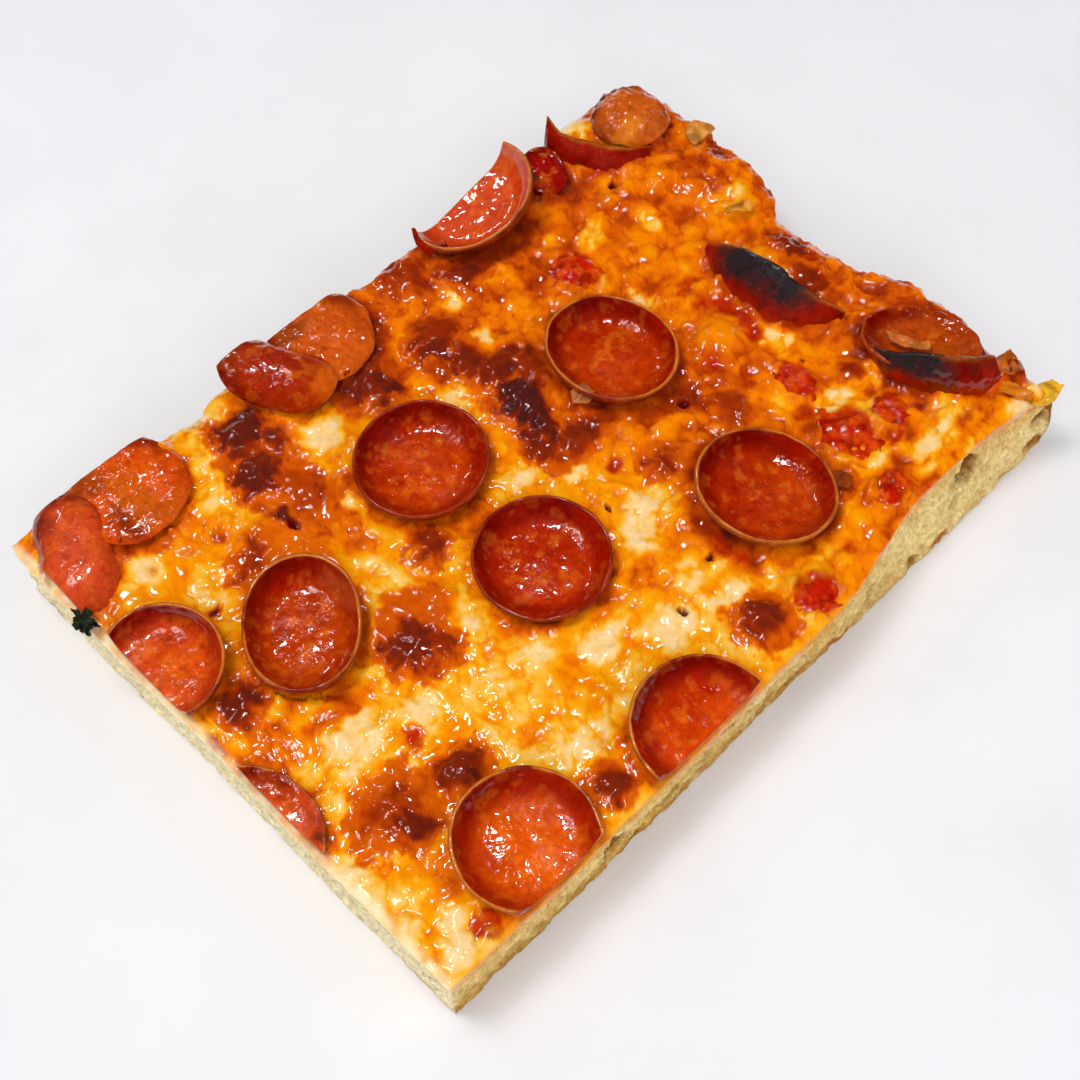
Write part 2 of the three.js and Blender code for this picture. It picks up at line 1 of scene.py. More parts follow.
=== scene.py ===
"""A rectangular slice of pan-baked pepperoni pizza, dressed over its CAD model.

The tables below are in millimetres in the slice's own frame: X runs from the short cut to the pan
crust, Y from the front cut to the back cut, and Z up from the underside.
"""
import itertools
import math
from dataclasses import dataclass

import bmesh
import bpy
import numpy as np
from mathutils import Matrix, Vector


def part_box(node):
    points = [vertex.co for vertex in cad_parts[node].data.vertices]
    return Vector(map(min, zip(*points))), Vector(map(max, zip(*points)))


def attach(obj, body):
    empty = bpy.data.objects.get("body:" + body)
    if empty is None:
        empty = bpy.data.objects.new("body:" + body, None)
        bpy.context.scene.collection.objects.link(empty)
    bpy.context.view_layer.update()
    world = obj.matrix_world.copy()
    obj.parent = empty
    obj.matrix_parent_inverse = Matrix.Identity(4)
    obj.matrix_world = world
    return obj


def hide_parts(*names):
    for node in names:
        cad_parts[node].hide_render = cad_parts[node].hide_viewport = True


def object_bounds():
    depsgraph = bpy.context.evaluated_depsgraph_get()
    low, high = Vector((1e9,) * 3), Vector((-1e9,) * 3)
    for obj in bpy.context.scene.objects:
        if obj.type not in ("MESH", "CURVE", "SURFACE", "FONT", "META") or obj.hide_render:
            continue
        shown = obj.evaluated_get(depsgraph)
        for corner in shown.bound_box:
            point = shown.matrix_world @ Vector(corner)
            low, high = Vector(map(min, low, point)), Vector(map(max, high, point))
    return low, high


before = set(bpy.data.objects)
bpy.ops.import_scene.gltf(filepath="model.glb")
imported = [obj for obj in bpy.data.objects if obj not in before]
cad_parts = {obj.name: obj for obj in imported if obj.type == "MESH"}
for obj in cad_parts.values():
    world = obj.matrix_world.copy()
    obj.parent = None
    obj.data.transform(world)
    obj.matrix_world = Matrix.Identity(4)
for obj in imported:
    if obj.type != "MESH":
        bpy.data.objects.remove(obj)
cad_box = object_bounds()

# ------------------------------------------------------------------ the slice's own frame

BREAD_LOW = (-83.690, -60.602, 0.0)  # lowest corner of the bread
SHIFT = np.array(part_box("bread")[0]) * 1000 - np.array(BREAD_LOW)  # from that frame to the CAD's
TALLEST = cad_box[1][2] * 1000 - SHIFT[2] - 0.05  # no point goes above the CAD model

CUT_LEFT = -83.0
CUT_FRONT = -60.0
CUT_BACK = 60.0
BREAD_TOP = 15.0
CHEESE_BOTTOM = 16.6
CHEESE_TOP = 19.0
MEAT_THICKNESS = 1.7
RIM_THINNING = 0.5  # how much thinner the meat is at its rim

CHEESE_EDGES = {
    "front": [(-83.4, -60), (-40, -60.1), (0, -59.8), (18, -59.6), (32, -57.2), (45, -54.8),
              (64, -54.8), (75, -56), (84.5, -57.5)],
    "right": [(84.5, -57.5), (84, -53), (86.6, -48), (83.6, -43.5), (86.4, -34), (86, -21),
              (83, -15), (80.8, -8), (79.8, 4), (80.2, 10), (84, 15), (86.3, 20), (87, 30),
              (87.4, 34.5), (87.9, 36.5), (87.4, 39.5), (87.3, 46), (86.4, 52), (82.5, 60)],
    "back": [(-83.2, 59.4), (-74, 59.8), (-58, 59.8), (-45, 57.5), (-40.4, 54.8), (-36.5, 58.3),
             (-20, 59.6), (0, 59.4), (8, 58.4), (19, 58.9), (40, 59.2), (60, 59.8), (72, 60),
             (82.5, 60)],
    "left": [(-83.4, -60), (-83.8, -30), (-83.3, 0), (-83.7, 30), (-84, 52), (-83.2, 59.4)],
}
BREAD_EDGES = {
    "front": [(-83, -60), (-40, -60.2), (0, -59.8), (40, -60.2), (86.8, -60)],
    "right": [(86.8, -60), (86.2, -45), (86.8, -30), (84, -15), (82, -3), (82, 8), (85, 18),
              (87, 28), (87.6, 42), (86.8, 52), (84, 60)],
    "back": [(-83, 60), (-40, 59.8), (0, 60.2), (40, 59.8), (84, 60)],
    "left": [(-83, -60), (-83.3, -30), (-82.8, 0), (-83.3, 30), (-83, 60)],
}
PAN_CRUST_INSET = [(0, 2.6), (1.2, 1), (4.5, 0), (10, 0.4), (BREAD_TOP, 1.6)]  # level, inset
FRONT_SLANT = [(15, 0), (45, 5.2), (68, 5.2), (86.8, 2.2)]  # x, how far the cut leans in


@dataclass
class Slice:
    """A disc of meat that curls up, or down, towards its rim. Angles are in degrees."""
    x: float
    y: float
    z: float
    size: float  # from the middle to the rim, along the meat
    floor: float  # the flat share of that
    bend: float  # how far the rim turns up
    lean: float = 0  # how far the slice is tipped
    toward: float = 0  # and the side that rises
    squash: float = 0  # how much longer it is one way than the other
    squash_at: float = 0
    oval: float = 0  # how much more two opposite sides curl
    oval_at: float = 0
    side: float = 0  # how much more one side curls
    side_at: float = 0


SLICES = {
    "pepperoni_01": Slice(27.7, 9.4, 18.9, 15.3, 0.48, 78, 2, 200, squash=-0.05),
    "pepperoni_02": Slice(-16.9, 17.2, 18.7, 15, 0.5, 75, 2, 45, squash=0.02),
    "pepperoni_03": Slice(-15.9, -14.4, 18.7, 14.7, 0.5, 68, 2, 45),
    "pepperoni_04": Slice(24.8, -33.8, 18.9, 15.4, 0.48, 72, 5, 200, squash=-0.04),
    "pepperoni_05": Slice(-56.8, 6.2, 18.8, 15.1, 0.42, 88, 4, 30, squash=0.16, squash_at=49,
                          oval=0.1, oval_at=45),
    "pepperoni_06": Slice(-79.9, 18.5, 18.9, 13.6, 0.5, 78, 4, 0),
    "pepperoni_07": Slice(-91.5, -17.3, 19, 14.6, 0.7, 40),
    "pepperoni_08": Slice(-57.4, -51.4, 18.8, 14.9, 0.48, 72, 3, 90),
    "pepperoni_09": Slice(-19.9, -58.8, 18.8, 15.2, 0.5, 66, 3, 90),
    "pepperoni_10": Slice(-76, 49.2, 21.9, 10.9, 0.3, -48, 3, 60, squash=0.34, squash_at=59),
    "pepperoni_11": Slice(-61, 53, 20.9, 12.2, 0.7, -20),
    "pepperoni_12": Slice(-23.4, 51.4, 25.2, 10.4, 0.12, -46, 7, 120, squash=0.17,
                          squash_at=120, oval=0.57, oval_at=30),
    "pepperoni_13": Slice(-10.8, 53.6, 21.2, 11.5, 0.7, -24),
    "pepperoni_14": Slice(35.4, 56.4, 20.7, 16.2, 0.5, 85, 17, -28, squash=0.04),
    "pepperoni_16": Slice(76.4, 50.3, 24.6, 9.4, 0.2, -52),
    "pepperoni_17": Slice(52.2, 52.6, 21.2, 5.6, 0.3, 20, 12, 110, squash=0.12, squash_at=60),
    "pepperoni_19": Slice(74, -33, 19.2, 11.3, 0.35, 38, 6, 220, squash=0.14, squash_at=120,
                          side=0.35, side_at=220),
}
BLADES = {  # upright walls; char says from where to where they are charred, and how low, if at all
    "pepperoni_15": dict(
        bulge=0.9, bulge_toward=215, char=(2, 3, 1),
        foot=[(58.2, 58.4, 20), (58.6, 53, 18.2), (61, 46.5, 18), (66, 41.6, 18), (74, 41.2, 18)],
        rim=[(60, 59.4, 27.4), (60.6, 55, 24.8), (64, 50, 23.4), (68, 45.2, 22.6),
             (74.4, 42, 21)]),
    "pepperoni_18": dict(
        bulge=1.1, bulge_toward=190, char=(0.12, 0.78, 0.3),
        foot=[(62.4, 14.4, 18.6), (58.4, 9, 18), (57.2, 0, 18), (58.4, -9, 18),
              (68.4, -17, 18.2)],
        rim=[(63.2, 15.2, 20.6), (64, 7.4, 24.6), (64.4, -1.4, 26.6), (65.4, -9, 25),
             (69.2, -17.2, 21.4)]),
    "pepperoni_19": dict(
        bulge=1.3, bulge_toward=225, char=(0.12, 0.66, 0.4),
        foot=[(65.2, -26.5, 19), (64.9, -33, 18.4), (66.4, -38.8, 18.4), (70.4, -45, 18.4),
              (75, -48.4, 18.6), (80, -49.4, 19)],
        rim=[(66.6, -24.2, 21.2), (64.6, -28.6, 23.2), (66.7, -34.4, 25.6), (70.6, -40, 26.8),
             (75, -43.4, 25.8), (80.2, -46, 23.2)]),
}
TORN_CURL = [(24, 53.6, 20.6), (20.6, 54.2, 20.6), (19.4, 56.6, 22.6), (19.3, 58, 26)]
LEAF_MIDDLE = (-83.9, 35.8)
LEAF_HALF = (1.9, 3.1)
LEAF_LEVEL = 20.7
LEAF_FOLDS_AT = -84.4
LEAF_REACH = -86.5  # how far out it may come
TOMATOES = {  # x, y, half lengths, turn in degrees, top
    "tomato_01": (47.6, -36.4, 6.6, 6.6, 30, 20.6),
    "tomato_02": (50, -20.4, 3.4, 5, 10, 20.9),
    "tomato_03": (15.4, -54.6, 5, 4.6, 0, 20.4),
    "tomato_04": (38.8, 30, 4.4, 6, 15, 20.7),
    "tomato_05": (43.4, -50, 4.6, 3.8, 0, 20.4),
    "tomato_06": (57.8, -38.4, 3.6, 4, 0, 20.5),
}

SCRAPS = {  # height, waviness, colour, outline
    "lace_brown": (21, 0.8, (196, 100, 14), [
        (79, -46.8), (82, -45.6), (85.6, -46.4), (84.8, -49), (84, -51.4), (80.4, -51)]),
    "lace_golden": (19.7, 0.7, (226, 132, 14), [
        (76, -50.8), (78.6, -49.8), (80.6, -51.6), (80, -54.4), (81.4, -56), (78.6, -56.6),
        (77.4, -54)]),
    "corner_golden": (17.9, 0.5, (252, 190, 40), [
        (79, -54.4), (84, -54.6), (87.6, -56), (88.3, -58.8), (84, -59.8), (80, -58)]),
    "flake_pale": (20.3, 0.5, (222, 146, 60), [
        (82, 36), (85, 35.4), (88.4, 35.6), (88.6, 37.2), (87.4, 39), (86.6, 40.6), (84, 40.4),
        (82, 39)]),
    "flake_golden": (22, 0.6, (236, 158, 40), [
        (70.4, 17.4), (73, 18.2), (76.2, 17), (77.6, 14.8), (75, 14.2), (72.6, 15.6)]),
    "strip_orange": (22, 0.5, (222, 124, 48), [
        (70.4, -26.4), (72, -28.6), (72.6, -32), (74.8, -34.6), (73, -35.4), (70.6, -32.6),
        (69.4, -28.6)]),
    "scrap_tan": (21.5, 0.4, (206, 118, 60), [
        (13.4, 6.2), (15, 8.6), (18.2, 8), (18.6, 5.2), (16, 3.8)]),
    "scrap_brown": (21.2, 0.4, (150, 60, 8), [
        (35, -43), (36.4, -40), (39, -40.6), (39.6, -43.4), (37, -44.8)]),
}

# ------------------------------------------------------------------ where the cheese does what
# Each row is x, y, half length along X, half length along Y, then what the heading says.

SWELLS = [  # height
    (72, 0, 9, 17, 2.4), (78, 28, 12, 15, 2.2), (80, -24, 9, 12, 1.6), (77, 51, 13, 13, 2.6),
    (44, 53, 12, 8, 1.6), (66, 36, 16, 12, 1), (-66, 48, 8, 9, 1.2), (10, 20, 16, 22, 0.8),
    (67, 54, 8, 9, 2.2), (70, 34, 6, 4, 1.2), (-48, 26, 13, 7, 0.6), (83, -49, 6, 5, 2.2),
]
DISCS = [  # height and tone of what lies buried
    (-50, 18.6, 12.6, 12.6, 0.9, 0.74), (-41, -7, 10.5, 9.6, 0.8, 0.84),
]
BLISTERS = [  # height, tone at the top
    (-44.5, -9.5, 6.4, 6.6, 1.3, 1.36), (-41, -14, 4, 3.4, 0.8, 1.2),
    (-36.5, 48.5, 7, 6.5, 2.2, 1.5), (-33, 43, 4, 5.4, 1.4, 1.4), (-40, 38, 6.8, 6.5, 2, 1.38),
    (-40, 44, 5, 4, 1.2, 1.26), (-43, 27.5, 2.2, 3.8, 1.1, 1.62), (-37, 30, 6, 9, 0.6, 1.0),
    (-54, 24.5, 5.4, 3.4, 0.5, 1.08), (-10.5, 39, 6.4, 8, 1.9, 1.34), (-8, 36, 3.4, 4, 0.9, 1.46),
    (6, 38.4, 7.4, 6, 2.1, 1.2), (4.5, 36, 3.6, 3.6, 0.8, 1.4), (7, 30, 5, 6.4, 1.5, 1.26),
    (10, 23.6, 8, 6, 1.6, 1.3), (7.5, 14.4, 6.6, 8.4, 2.2, 1.68), (6.4, 8.4, 5.6, 5.4, 1.5, 1.6),
    (14, 19, 5.4, 8, 1.5, 1.16), (10, 1.6, 8.4, 4.6, 1.2, 1.22), (3, 5, 4.4, 5, 1, 1.3),
    (-27, 4, 5, 4.8, 1.2, 1.2), (-74.5, 3.5, 5.6, 5.2, 1.4, 1.3), (-68, -31.5, 8.4, 8, 1.8, 1.06),
    (-67.5, -35, 4.8, 4.6, 1.2, 1.36), (-54.8, -33.2, 5.8, 4.6, 2, 1.32),
    (-54.6, -34.6, 1.3, 2.6, 0, 1.6), (4.5, -51.5, 6.8, 5.8, 2.2, 1.26),
    (-39.4, -54.4, 5, 4.6, 1.4, 1.32), (17, -14, 5, 4.6, 1.2, 1.06), (36, -15, 5, 4.6, 1.3, 1.08),
    (59.4, -25.4, 3.2, 2.8, 0.9, 1.12), (12.5, 54, 9, 6.6, 2, 1.1), (22, 47, 5, 7, 1.2, 1.26),
    (47.5, -2, 6.8, 7, 2.4, 0.55), (38, -43, 4, 3.4, 1.4, 1.1), (43, -30, 2.6, 2.6, 0.6, 1.05),
    (62.5, -41.4, 2, 2.2, 0.5, 1.2), (83.6, -48.6, 4.6, 3.6, 1, 1.06), (75, 3, 4, 7, 1.2, 1.25),
    (71, -6, 3, 6, 0.8, 1.15), (16.4, 6.2, 3, 2.4, 1.4, 0.7), (-65, 21, 1.3, 0.9, 0.3, 1.6),
    (54.4, -19, 0.9, 0.9, 0.2, 1.6),
]
TONES = [  # browner above 0, paler below
    # left, front
    (-66, -17, 8, 6, -0.34), (-61, -13, 4, 2.6, -0.3), (-53, -20, 7, 5, -0.2),
    (-76, -18, 4, 8, -0.16), (-79, -56, 6, 4, -0.4), (-76, -51, 4, 3, -0.2),
    (-81, -38, 4, 12, -0.1), (-40, -18, 9, 4, -0.06), (-33, -12, 3.4, 4, -0.3),
    (-38, -25, 7, 6, -0.1),
    (-20, -34, 9, 4.4, -0.32), (-8, -39, 7, 5.4, -0.3), (-36, -46.5, 9, 3.4, -0.34),
    (-27, -45, 4, 3, -0.22), (-28, -28, 5, 3, -0.16), (-62, -25, 4, 4, -0.16),
    (-57, -23, 3.6, 2.4, 0.38), (-26, -33.5, 3, 2.4, 0.34), (-40, -37, 5, 3, 0.2),
    (-62, -9, 13, 4, 0.4), (-75, -7, 5, 7, 0.28), (-34, -5, 5, 8, 0.28), (-32, 5, 5, 6, 0.2),
    (-68, -29, 9, 8, 0.36), (-53, -31, 8, 4, 0.2), (-47, -56, 4, 3, 0.2), (-5, -29, 6, 3, 0.3),
    (-40, -53, 7, 4, 0.3), (-74, -47, 4, 5, 0.18),
    # left, back
    (-43, 54, 8, 7, -0.2), (-50, 43, 6, 5, -0.26), (-71, 37, 7, 3, -0.24), (-65, 25, 4, 6, -0.3),
    (-59, 35, 9, 5, 0.14), (-55, 34, 2, 2, 0.3), (-50, 27, 11, 6, 0.42), (-37, 20, 6, 14, 0.42),
    (-35, 36, 5, 12, 0.46), (-44, 36, 3, 9, 0.4), (-32.6, 23, 2.4, 7, -0.5), (-38, 7, 6, 6, -0.04),
    (-24, 37.5, 7, 5, -0.32), (-17, 33, 4, 3, -0.24), (-11, 38, 10, 9, 0.4), (-1, 22, 3, 8, -0.3),
    (-5, 3, 6, 4, -0.3), (0, 32, 4, 5, 0.3), (-16, 1, 4, 3, 0.3), (-3, 46, 5, 5, 0.2),
    (-28, 10, 4, 3, 0.1), (-48, 15, 4, 6, 0.3), (-83, 10, 3, 8, -0.2), (-66, 42, 6, 5, 0.3),
    # right, front
    (3, -4, 4, 4, -0.5), (10, -8, 3, 3, 0.1), (7, -19, 9, 5, -0.34), (3, -24, 5, 4, -0.36),
    (8, -30, 6, 4, 0.14), (12, -36, 4, 9, 0.2), (1, -36, 4, 6, -0.2), (4, -44, 7, 4, -0.36),
    (12, -46, 4, 4, -0.3), (26, -51, 7, 4, -0.2), (34, -53, 5, 4, -0.14), (38, -49, 4, 5, -0.1),
    (60, -56, 12, 3.4, -0.34), (42, -57, 8, 3, -0.26), (24, -15, 7, 3, 0.1),
    (31, -7, 9, 4, 0.24), (48, -1, 5, 5, -0.1), (52.4, -9.4, 4.6, 2.8, -0.7),
    (55, -13, 5, 2.4, -0.36), (44, -22, 5, 6, -0.16), (53, -29, 7, 4, -0.42),
    (56, -36, 4, 5, -0.36),
    (47, -44, 5, 3, -0.3), (57, -49, 9, 5, -0.52), (66, -46, 4, 5, -0.2), (80, -56, 7, 4, -0.46),
    (43, -42, 4, 4, -0.2), (62, -30, 4, 4, -0.3), (64, -18, 4, 6, 0.05), (74, -12, 5, 8, 0.04),
    (40, -7, 4, 4, 0.1), (72, -52, 6, 2, 0.2), (84, -49, 4, 4, 0.42), (82, -38, 4, 8, 0.24),
    # right, back
    (15, 43.5, 4.6, 2.8, -0.46), (26, 42.5, 5, 3, -0.2), (14.6, 32, 3.4, 3, -0.42),
    (22, 31, 7, 5, -0.14), (31, 35, 3.4, 10, 0.2), (46, 45, 12, 5, -0.02),
    (47.6, 34.6, 5.4, 4, -0.3), (40, 39, 3, 2.4, -0.3), (60, 28, 4, 4, -0.34),
    (44.6, 15.6, 3, 5, -0.66), (52, 23, 5, 4, -0.14),
    (53, 10, 4, 7, -0.12), (56, 32, 3, 5, 0.12), (68, 34.6, 4, 3, -0.1), (76, 36, 8, 5, 0.14),
    (66, 26, 6, 3, 0.1), (76, 19, 7, 6, -0.2), (81, 4, 3, 9, -0.3), (84, 43, 5, 8, 0.02),
    (28, 47, 10, 4, 0.34), (52, 44, 3, 4, 0.14), (67, 56, 6, 6, -0.5), (70, 47, 3, 6, -0.42),
    (8, 58, 4, 3, -0.2), (58, 20, 3, 8, 0.1), (73, 43, 3, 2, 0.5), (78, 28, 9, 5, 0.08),
    (86, 30, 3, 12, 0.1),
]
RED = [  # how much sauce shows
    (49, -36, 8, 8, 1), (50.5, -20.5, 5, 6.5, 0.95), (16, -54, 7, 6.5, 0.95),
    (39, 30.5, 6, 7.5, 0.95), (44, -50, 6.5, 5, 0.8), (58.5, -38, 5, 4.6, 0.9),
    (60, -33, 4, 2, 0.6), (68, -50, 5, 3, 0.6), (-72, -56.4, 4.4, 3.6, 0.8),
    (-82.6, 1, 2.5, 5, 0.75), (54, -3, 4, 8, 0.8), (41, -4, 4, 6, 0.6), (63, 47, 5, 8, 0.7),
    (53, 8, 6, 9, 0.55),
    (73, 43, 3, 2, 0.7), (11, -36, 3.4, 7, 0.5), (-57, -23, 3, 2, 0.45), (55, -42, 4, 2, 0.7),
    (46, -27, 4, 3, 0.5), (10, -8, 2.4, 2.4, 0.6), (7.5, -36, 2, 2, 0.6), (43, -12, 5, 4, 0.4),
    (-35, -48, 9, 3, 0.3), (6, -44, 8, 3, 0.3), (30, 47, 11, 4, 0.4), (27, -52, 5, 3, 0.35),
    (-70, 36, 6, 3, 0.3), (-64, 23, 3, 5, 0.25), (47, 20, 5, 4, 0.4), (75, -4, 4, 6, 0.35),
]
PITS = [  # depth
    (-4.5, -39.6, 0.9, 1.4, 1.6), (30.4, -8, 1.7, 1.5, 1.2), (7.5, -35.5, 0.9, 0.9, 1.2),
    (2, -14.4, 0.7, 1, 1.2), (61.4, 41, 1.3, 1.1, 1.4), (-43.4, 25, 0.9, 1.6, 1),
]
LAPPED = ("pepperoni_10", "pepperoni_11", "pepperoni_13", "pepperoni_16", "pepperoni_17",
          "pepperoni_19")  # slices whose rims the cheese covers in places
STAINS_AND_LIT_PATCH = [  # how strong, then the colour that the meat takes there
    (-65, 46, 4, 8, 0.8, (120, 32, 8)), (-61, 49, 5, 12, 0.8, (206, 90, 8)),
    # painted light: the right inner wall of pepperoni_05, which faces the lamps, painted a lighter
    # pinkish orange
    (-47, 6, 2.6, 7.5, 0.5, (190, 84, 40)),
    (-66, 58, 5, 5, 0.7, (150, 60, 12)), (-57, 43, 7, 4, 0.8, (196, 84, 14)),
    (-77.6, 58, 3, 6, 0.6, (120, 40, 26)), (-17, 42.6, 6, 5, 0.8, (214, 96, 14)),
    (-28, 62, 5, 5, 0.6, (170, 70, 30)), (2, 52, 3.6, 9, 0.8, (206, 90, 14)),
    (-11, 44.6, 8, 3, 0.7, (206, 90, 14)), (-14, 58, 6, 3, 0.6, (120, 50, 14)),
    (54, 60.6, 3.4, 4, 0.8, (212, 112, 74)), (47, 57.6, 5, 3, 0.5, (222, 100, 40)),
    (49.2, 52.6, 1.5, 2.6, 0.75, (90, 40, 30)), (86, 51, 2.6, 9, 0.9, (140, 34, 18)),
    (72, 46, 6, 2.4, 0.7, (226, 130, 30)), (-81.4, -26.6, 2, 2.4, 0.8, (92, 40, 24)),
    (83, -30, 5, 8, 0.7, (180, 66, 12)), (76.6, -45, 4.4, 3, 0.5, (92, 34, 20)),
    (64.4, 62, 2.4, 3.4, 0.7, (120, 60, 70)),
]

# ------------------------------------------------------------------ colours


def colour(red, green, blue):
    """A linear colour from its sRGB bytes."""
    srgb = np.array([red, green, blue]) / 255
    return np.where(srgb > 0.04045, ((srgb + 0.055) / 1.055) ** 2.4, srgb / 12.92)


TONE_STEPS = [  # the cheese from unbaked to burnt
    (-0.2, colour(255, 230, 204)), (0, colour(255, 214, 150)), (0.15, colour(255, 192, 64)),
    (0.32, colour(255, 170, 12)), (0.5, colour(252, 144, 2)), (0.66, colour(240, 118, 4)),
    (0.82, colour(216, 92, 6)), (0.98, colour(188, 68, 6)), (1.14, colour(158, 48, 8)),
    (1.3, colour(130, 38, 14)), (1.5, colour(104, 32, 20)), (1.75, colour(78, 28, 28)),
]
ORANGE = colour(238, 126, 4)
DEEP_ORANGE = colour(192, 66, 0)
SAUCE_RED = colour(196, 30, 6)
SAUCE_DEEP = colour(146, 12, 4)
TOMATO_BRIGHT = colour(222, 80, 14)
MEAT_FLOOR = colour(208, 68, 2)
MEAT_WALL = colour(160, 22, 0)
MEAT_DEEP = colour(112, 6, 1)
MEAT_FAT = colour(240, 120, 26)
MEAT_OUTSIDE = colour(128, 26, 4)
MEAT_GOLD = colour(214, 122, 36)
MEAT_SCORCHED = colour(92, 30, 22)
MEAT_CHAR = colour(44, 34, 38)
PALE_CHEESE = colour(255, 238, 194)
EDGE_CHEESE = colour(255, 190, 56)
CRUMB = colour(255, 229, 160)
CRUMB_LIT = colour(255, 241, 200)
CRUMB_SHADE = colour(226, 174, 84)
CRUMB_GRAIN_AND_SHADE = colour(180, 130, 42)
CRUMB_OILY = colour(240, 168, 50)
CRUMB_HOLE_SHADOW = colour(140, 84, 6)
CRUST_BROWN = colour(186, 116, 46)
CRUST_DARK = colour(120, 64, 22)
LEAF_GREEN = colour(30, 44, 20)
LEAF_DARK = colour(10, 12, 9)


def mix(a, b, share):
    """Colours a and b, or two plain numbers, mixed by a share for all points or one for each."""
    share = np.clip(share, 0, 1)
    if np.ndim(a) or np.ndim(b):
        share = np.asarray(share)[..., None]
    return a * (1 - share) + b * share


def step(low, high, value):
    """0 up to low, 1 from high on and smooth between. low may be the larger of the two."""
    share = np.clip((np.asarray(value, float) - low) / (high - low), 0, 1)
    return share * share * (3 - 2 * share)


# ------------------------------------------------------------------ noise

LATTICE = 64
OCTAVE_TURN = np.array([[0.36, 0.48, -0.8], [-0.8, 0.6, 0], [0.48, 0.64, 0.6]])


def points_of(x, y, z=0.0):
    """Points from their coordinates."""
    return np.stack(np.broadcast_arrays(x, y, z), axis=-1).astype(float)


def noise(points, size, seed, octaves=3):
    """Smooth noise between about -1 and 1, with its largest features about size mm wide."""
    table = np.random.default_rng(seed).uniform(-1, 1, (LATTICE,) * 3)
    at = np.asarray(points, float) / size + seed * 3.7
    total = np.zeros(at.shape[:-1])
    strength = 1.0
    for _ in range(octaves):
        whole = np.floor(at).astype(int)
        part = at - whole
        part = part ** 3 * (part * (part * 6 - 15) + 10)
        for corner in itertools.product((0, 1), repeat=3):
            weight = np.prod(np.where(corner, part, 1 - part), axis=-1)
            i, j, k = np.moveaxis((whole + corner) % LATTICE, -1, 0)
            total += strength * weight * table[i, j, k]
        at = at @ OCTAVE_TURN * 2.1 + 11.3
        strength *= 0.5
    return total


def warped(x, y, *layers):
    """x and y pushed about by layers of noise: strength, size, seed along X and seed along Y."""
    at = points_of(x, y)
    for strength, size, seed_x, seed_y in layers:
        x = x + strength * noise(at, size, seed_x)
        y = y + strength * noise(at, size, seed_y)
    return x, y


def cells(x, y, size, seed):
    """Distances to the nearest and the next of points strewn about size mm apart, and a number from
    -1 to 1 that belongs to the nearest."""
    rng = np.random.default_rng(seed)
    jitter = rng.uniform(0.05, 0.95, (LATTICE, LATTICE, 2))
    lots = rng.uniform(-1, 1, (LATTICE, LATTICE))
    column = np.floor(x / size).astype(int)
    row = np.floor(y / size).astype(int)
    found = []
    drawn = []
    for i, j in itertools.product((-1, 0, 1), repeat=2):
        place = ((column + i) % LATTICE, (row + j) % LATTICE)
        spot = jitter[place]
        found.append(np.hypot(x - (column + i + spot[..., 0]) * size,
                              y - (row + j + spot[..., 1]) * size))
        drawn.append(lots[place])
    order = np.argsort(found, axis=0)[:2]
    near, after = np.take_along_axis(np.array(found), order, axis=0)
    return near, after, np.take_along_axis(np.array(drawn), order, axis=0)[0]


def patch(x, y, row):
    """1 in the middle of a row's ellipse, falling to 0 at its edge."""
    cx, cy, rx, ry = row[:4]
    return np.clip(1 - np.hypot((x - cx) / rx, (y - cy) / ry), 0, 1)


def summed(x, y, rows):
    """The rows' last numbers laid over each other, each fading out towards its edge."""
    return sum(row[-1] * step(0, 0.6, patch(x, y, row)) for row in rows)


# ------------------------------------------------------------------ meshes


def make_piece(name, points, faces, paint, wet):
    """A mesh object from points in mm, with a colour and a wetness from 0 to 1 for each point."""
    mesh = bpy.data.meshes.new(name)
    points = np.minimum(points, (np.inf, np.inf, TALLEST))
    metres = (points + SHIFT) / 1000
    mesh.from_pydata([tuple(p) for p in metres], [], [tuple(f) for f in faces])
    mesh.validate()
    layer = mesh.attributes.new("paint", "FLOAT_COLOR", "POINT")
    rgba = np.ones((len(points), 4), np.float32)
    rgba[:, :3] = np.clip(paint, 0, 1)
    layer.data.foreach_set("color", rgba.ravel())
    layer = mesh.attributes.new("wet", "FLOAT", "POINT")
    layer.data.foreach_set("value", np.clip(wet, 0, 1).astype(np.float32))
    mesh.polygons.foreach_set("use_smooth", np.ones(len(mesh.polygons), bool))
    piece = bpy.data.objects.new(name, mesh)
    bpy.context.scene.collection.objects.link(piece)
    return piece


def cell_faces(rows, wrap=False):
    """Four-sided faces between the rows of an array of point numbers."""
    rows = np.asarray(rows)
    right = np.roll(rows, -1, axis=1) if wrap else rows[:, 1:]
    left = rows if wrap else rows[:, :-1]
    quads = np.stack([left[:-1], right[:-1], right[1:], left[1:]], axis=-1)
    return quads.reshape(-1, 4).tolist()


def tube_faces(rows):
    """Faces that wrap round the rows of an array of point numbers and close both ends."""
    return cell_faces(rows, wrap=True) + [rows[0][::-1].tolist(), rows[-1].tolist()]


def round_angles(count):
    """Angles in even steps round a circle."""
    return np.linspace(0, 2 * math.pi, count, endpoint=False)


def border(rows):
    """The point numbers round a grid, anticlockwise from its first corner."""
    rows = np.asarray(rows)
    return np.concatenate([rows[0], rows[1:, -1], rows[-1, -2::-1], rows[-2:0:-1, 0]])


def curve(points, shares):
    """Points at shares of a smooth curve's control points."""
    points = np.asarray(points, float)
    at = np.clip(shares, 0, 1) * (len(points) - 1)
    low = np.minimum(at.astype(int), len(points) - 2)
    t = (at - low)[..., None]
    a, b, c, d = (points[np.clip(low + k, 0, len(points) - 1)] for k in (-1, 0, 1, 2))
    return 0.5 * (2 * b + (c - a) * t + (2 * a - 5 * b + 4 * c - d) * t * t
                  + (3 * b - a - 3 * c + d) * t ** 3)


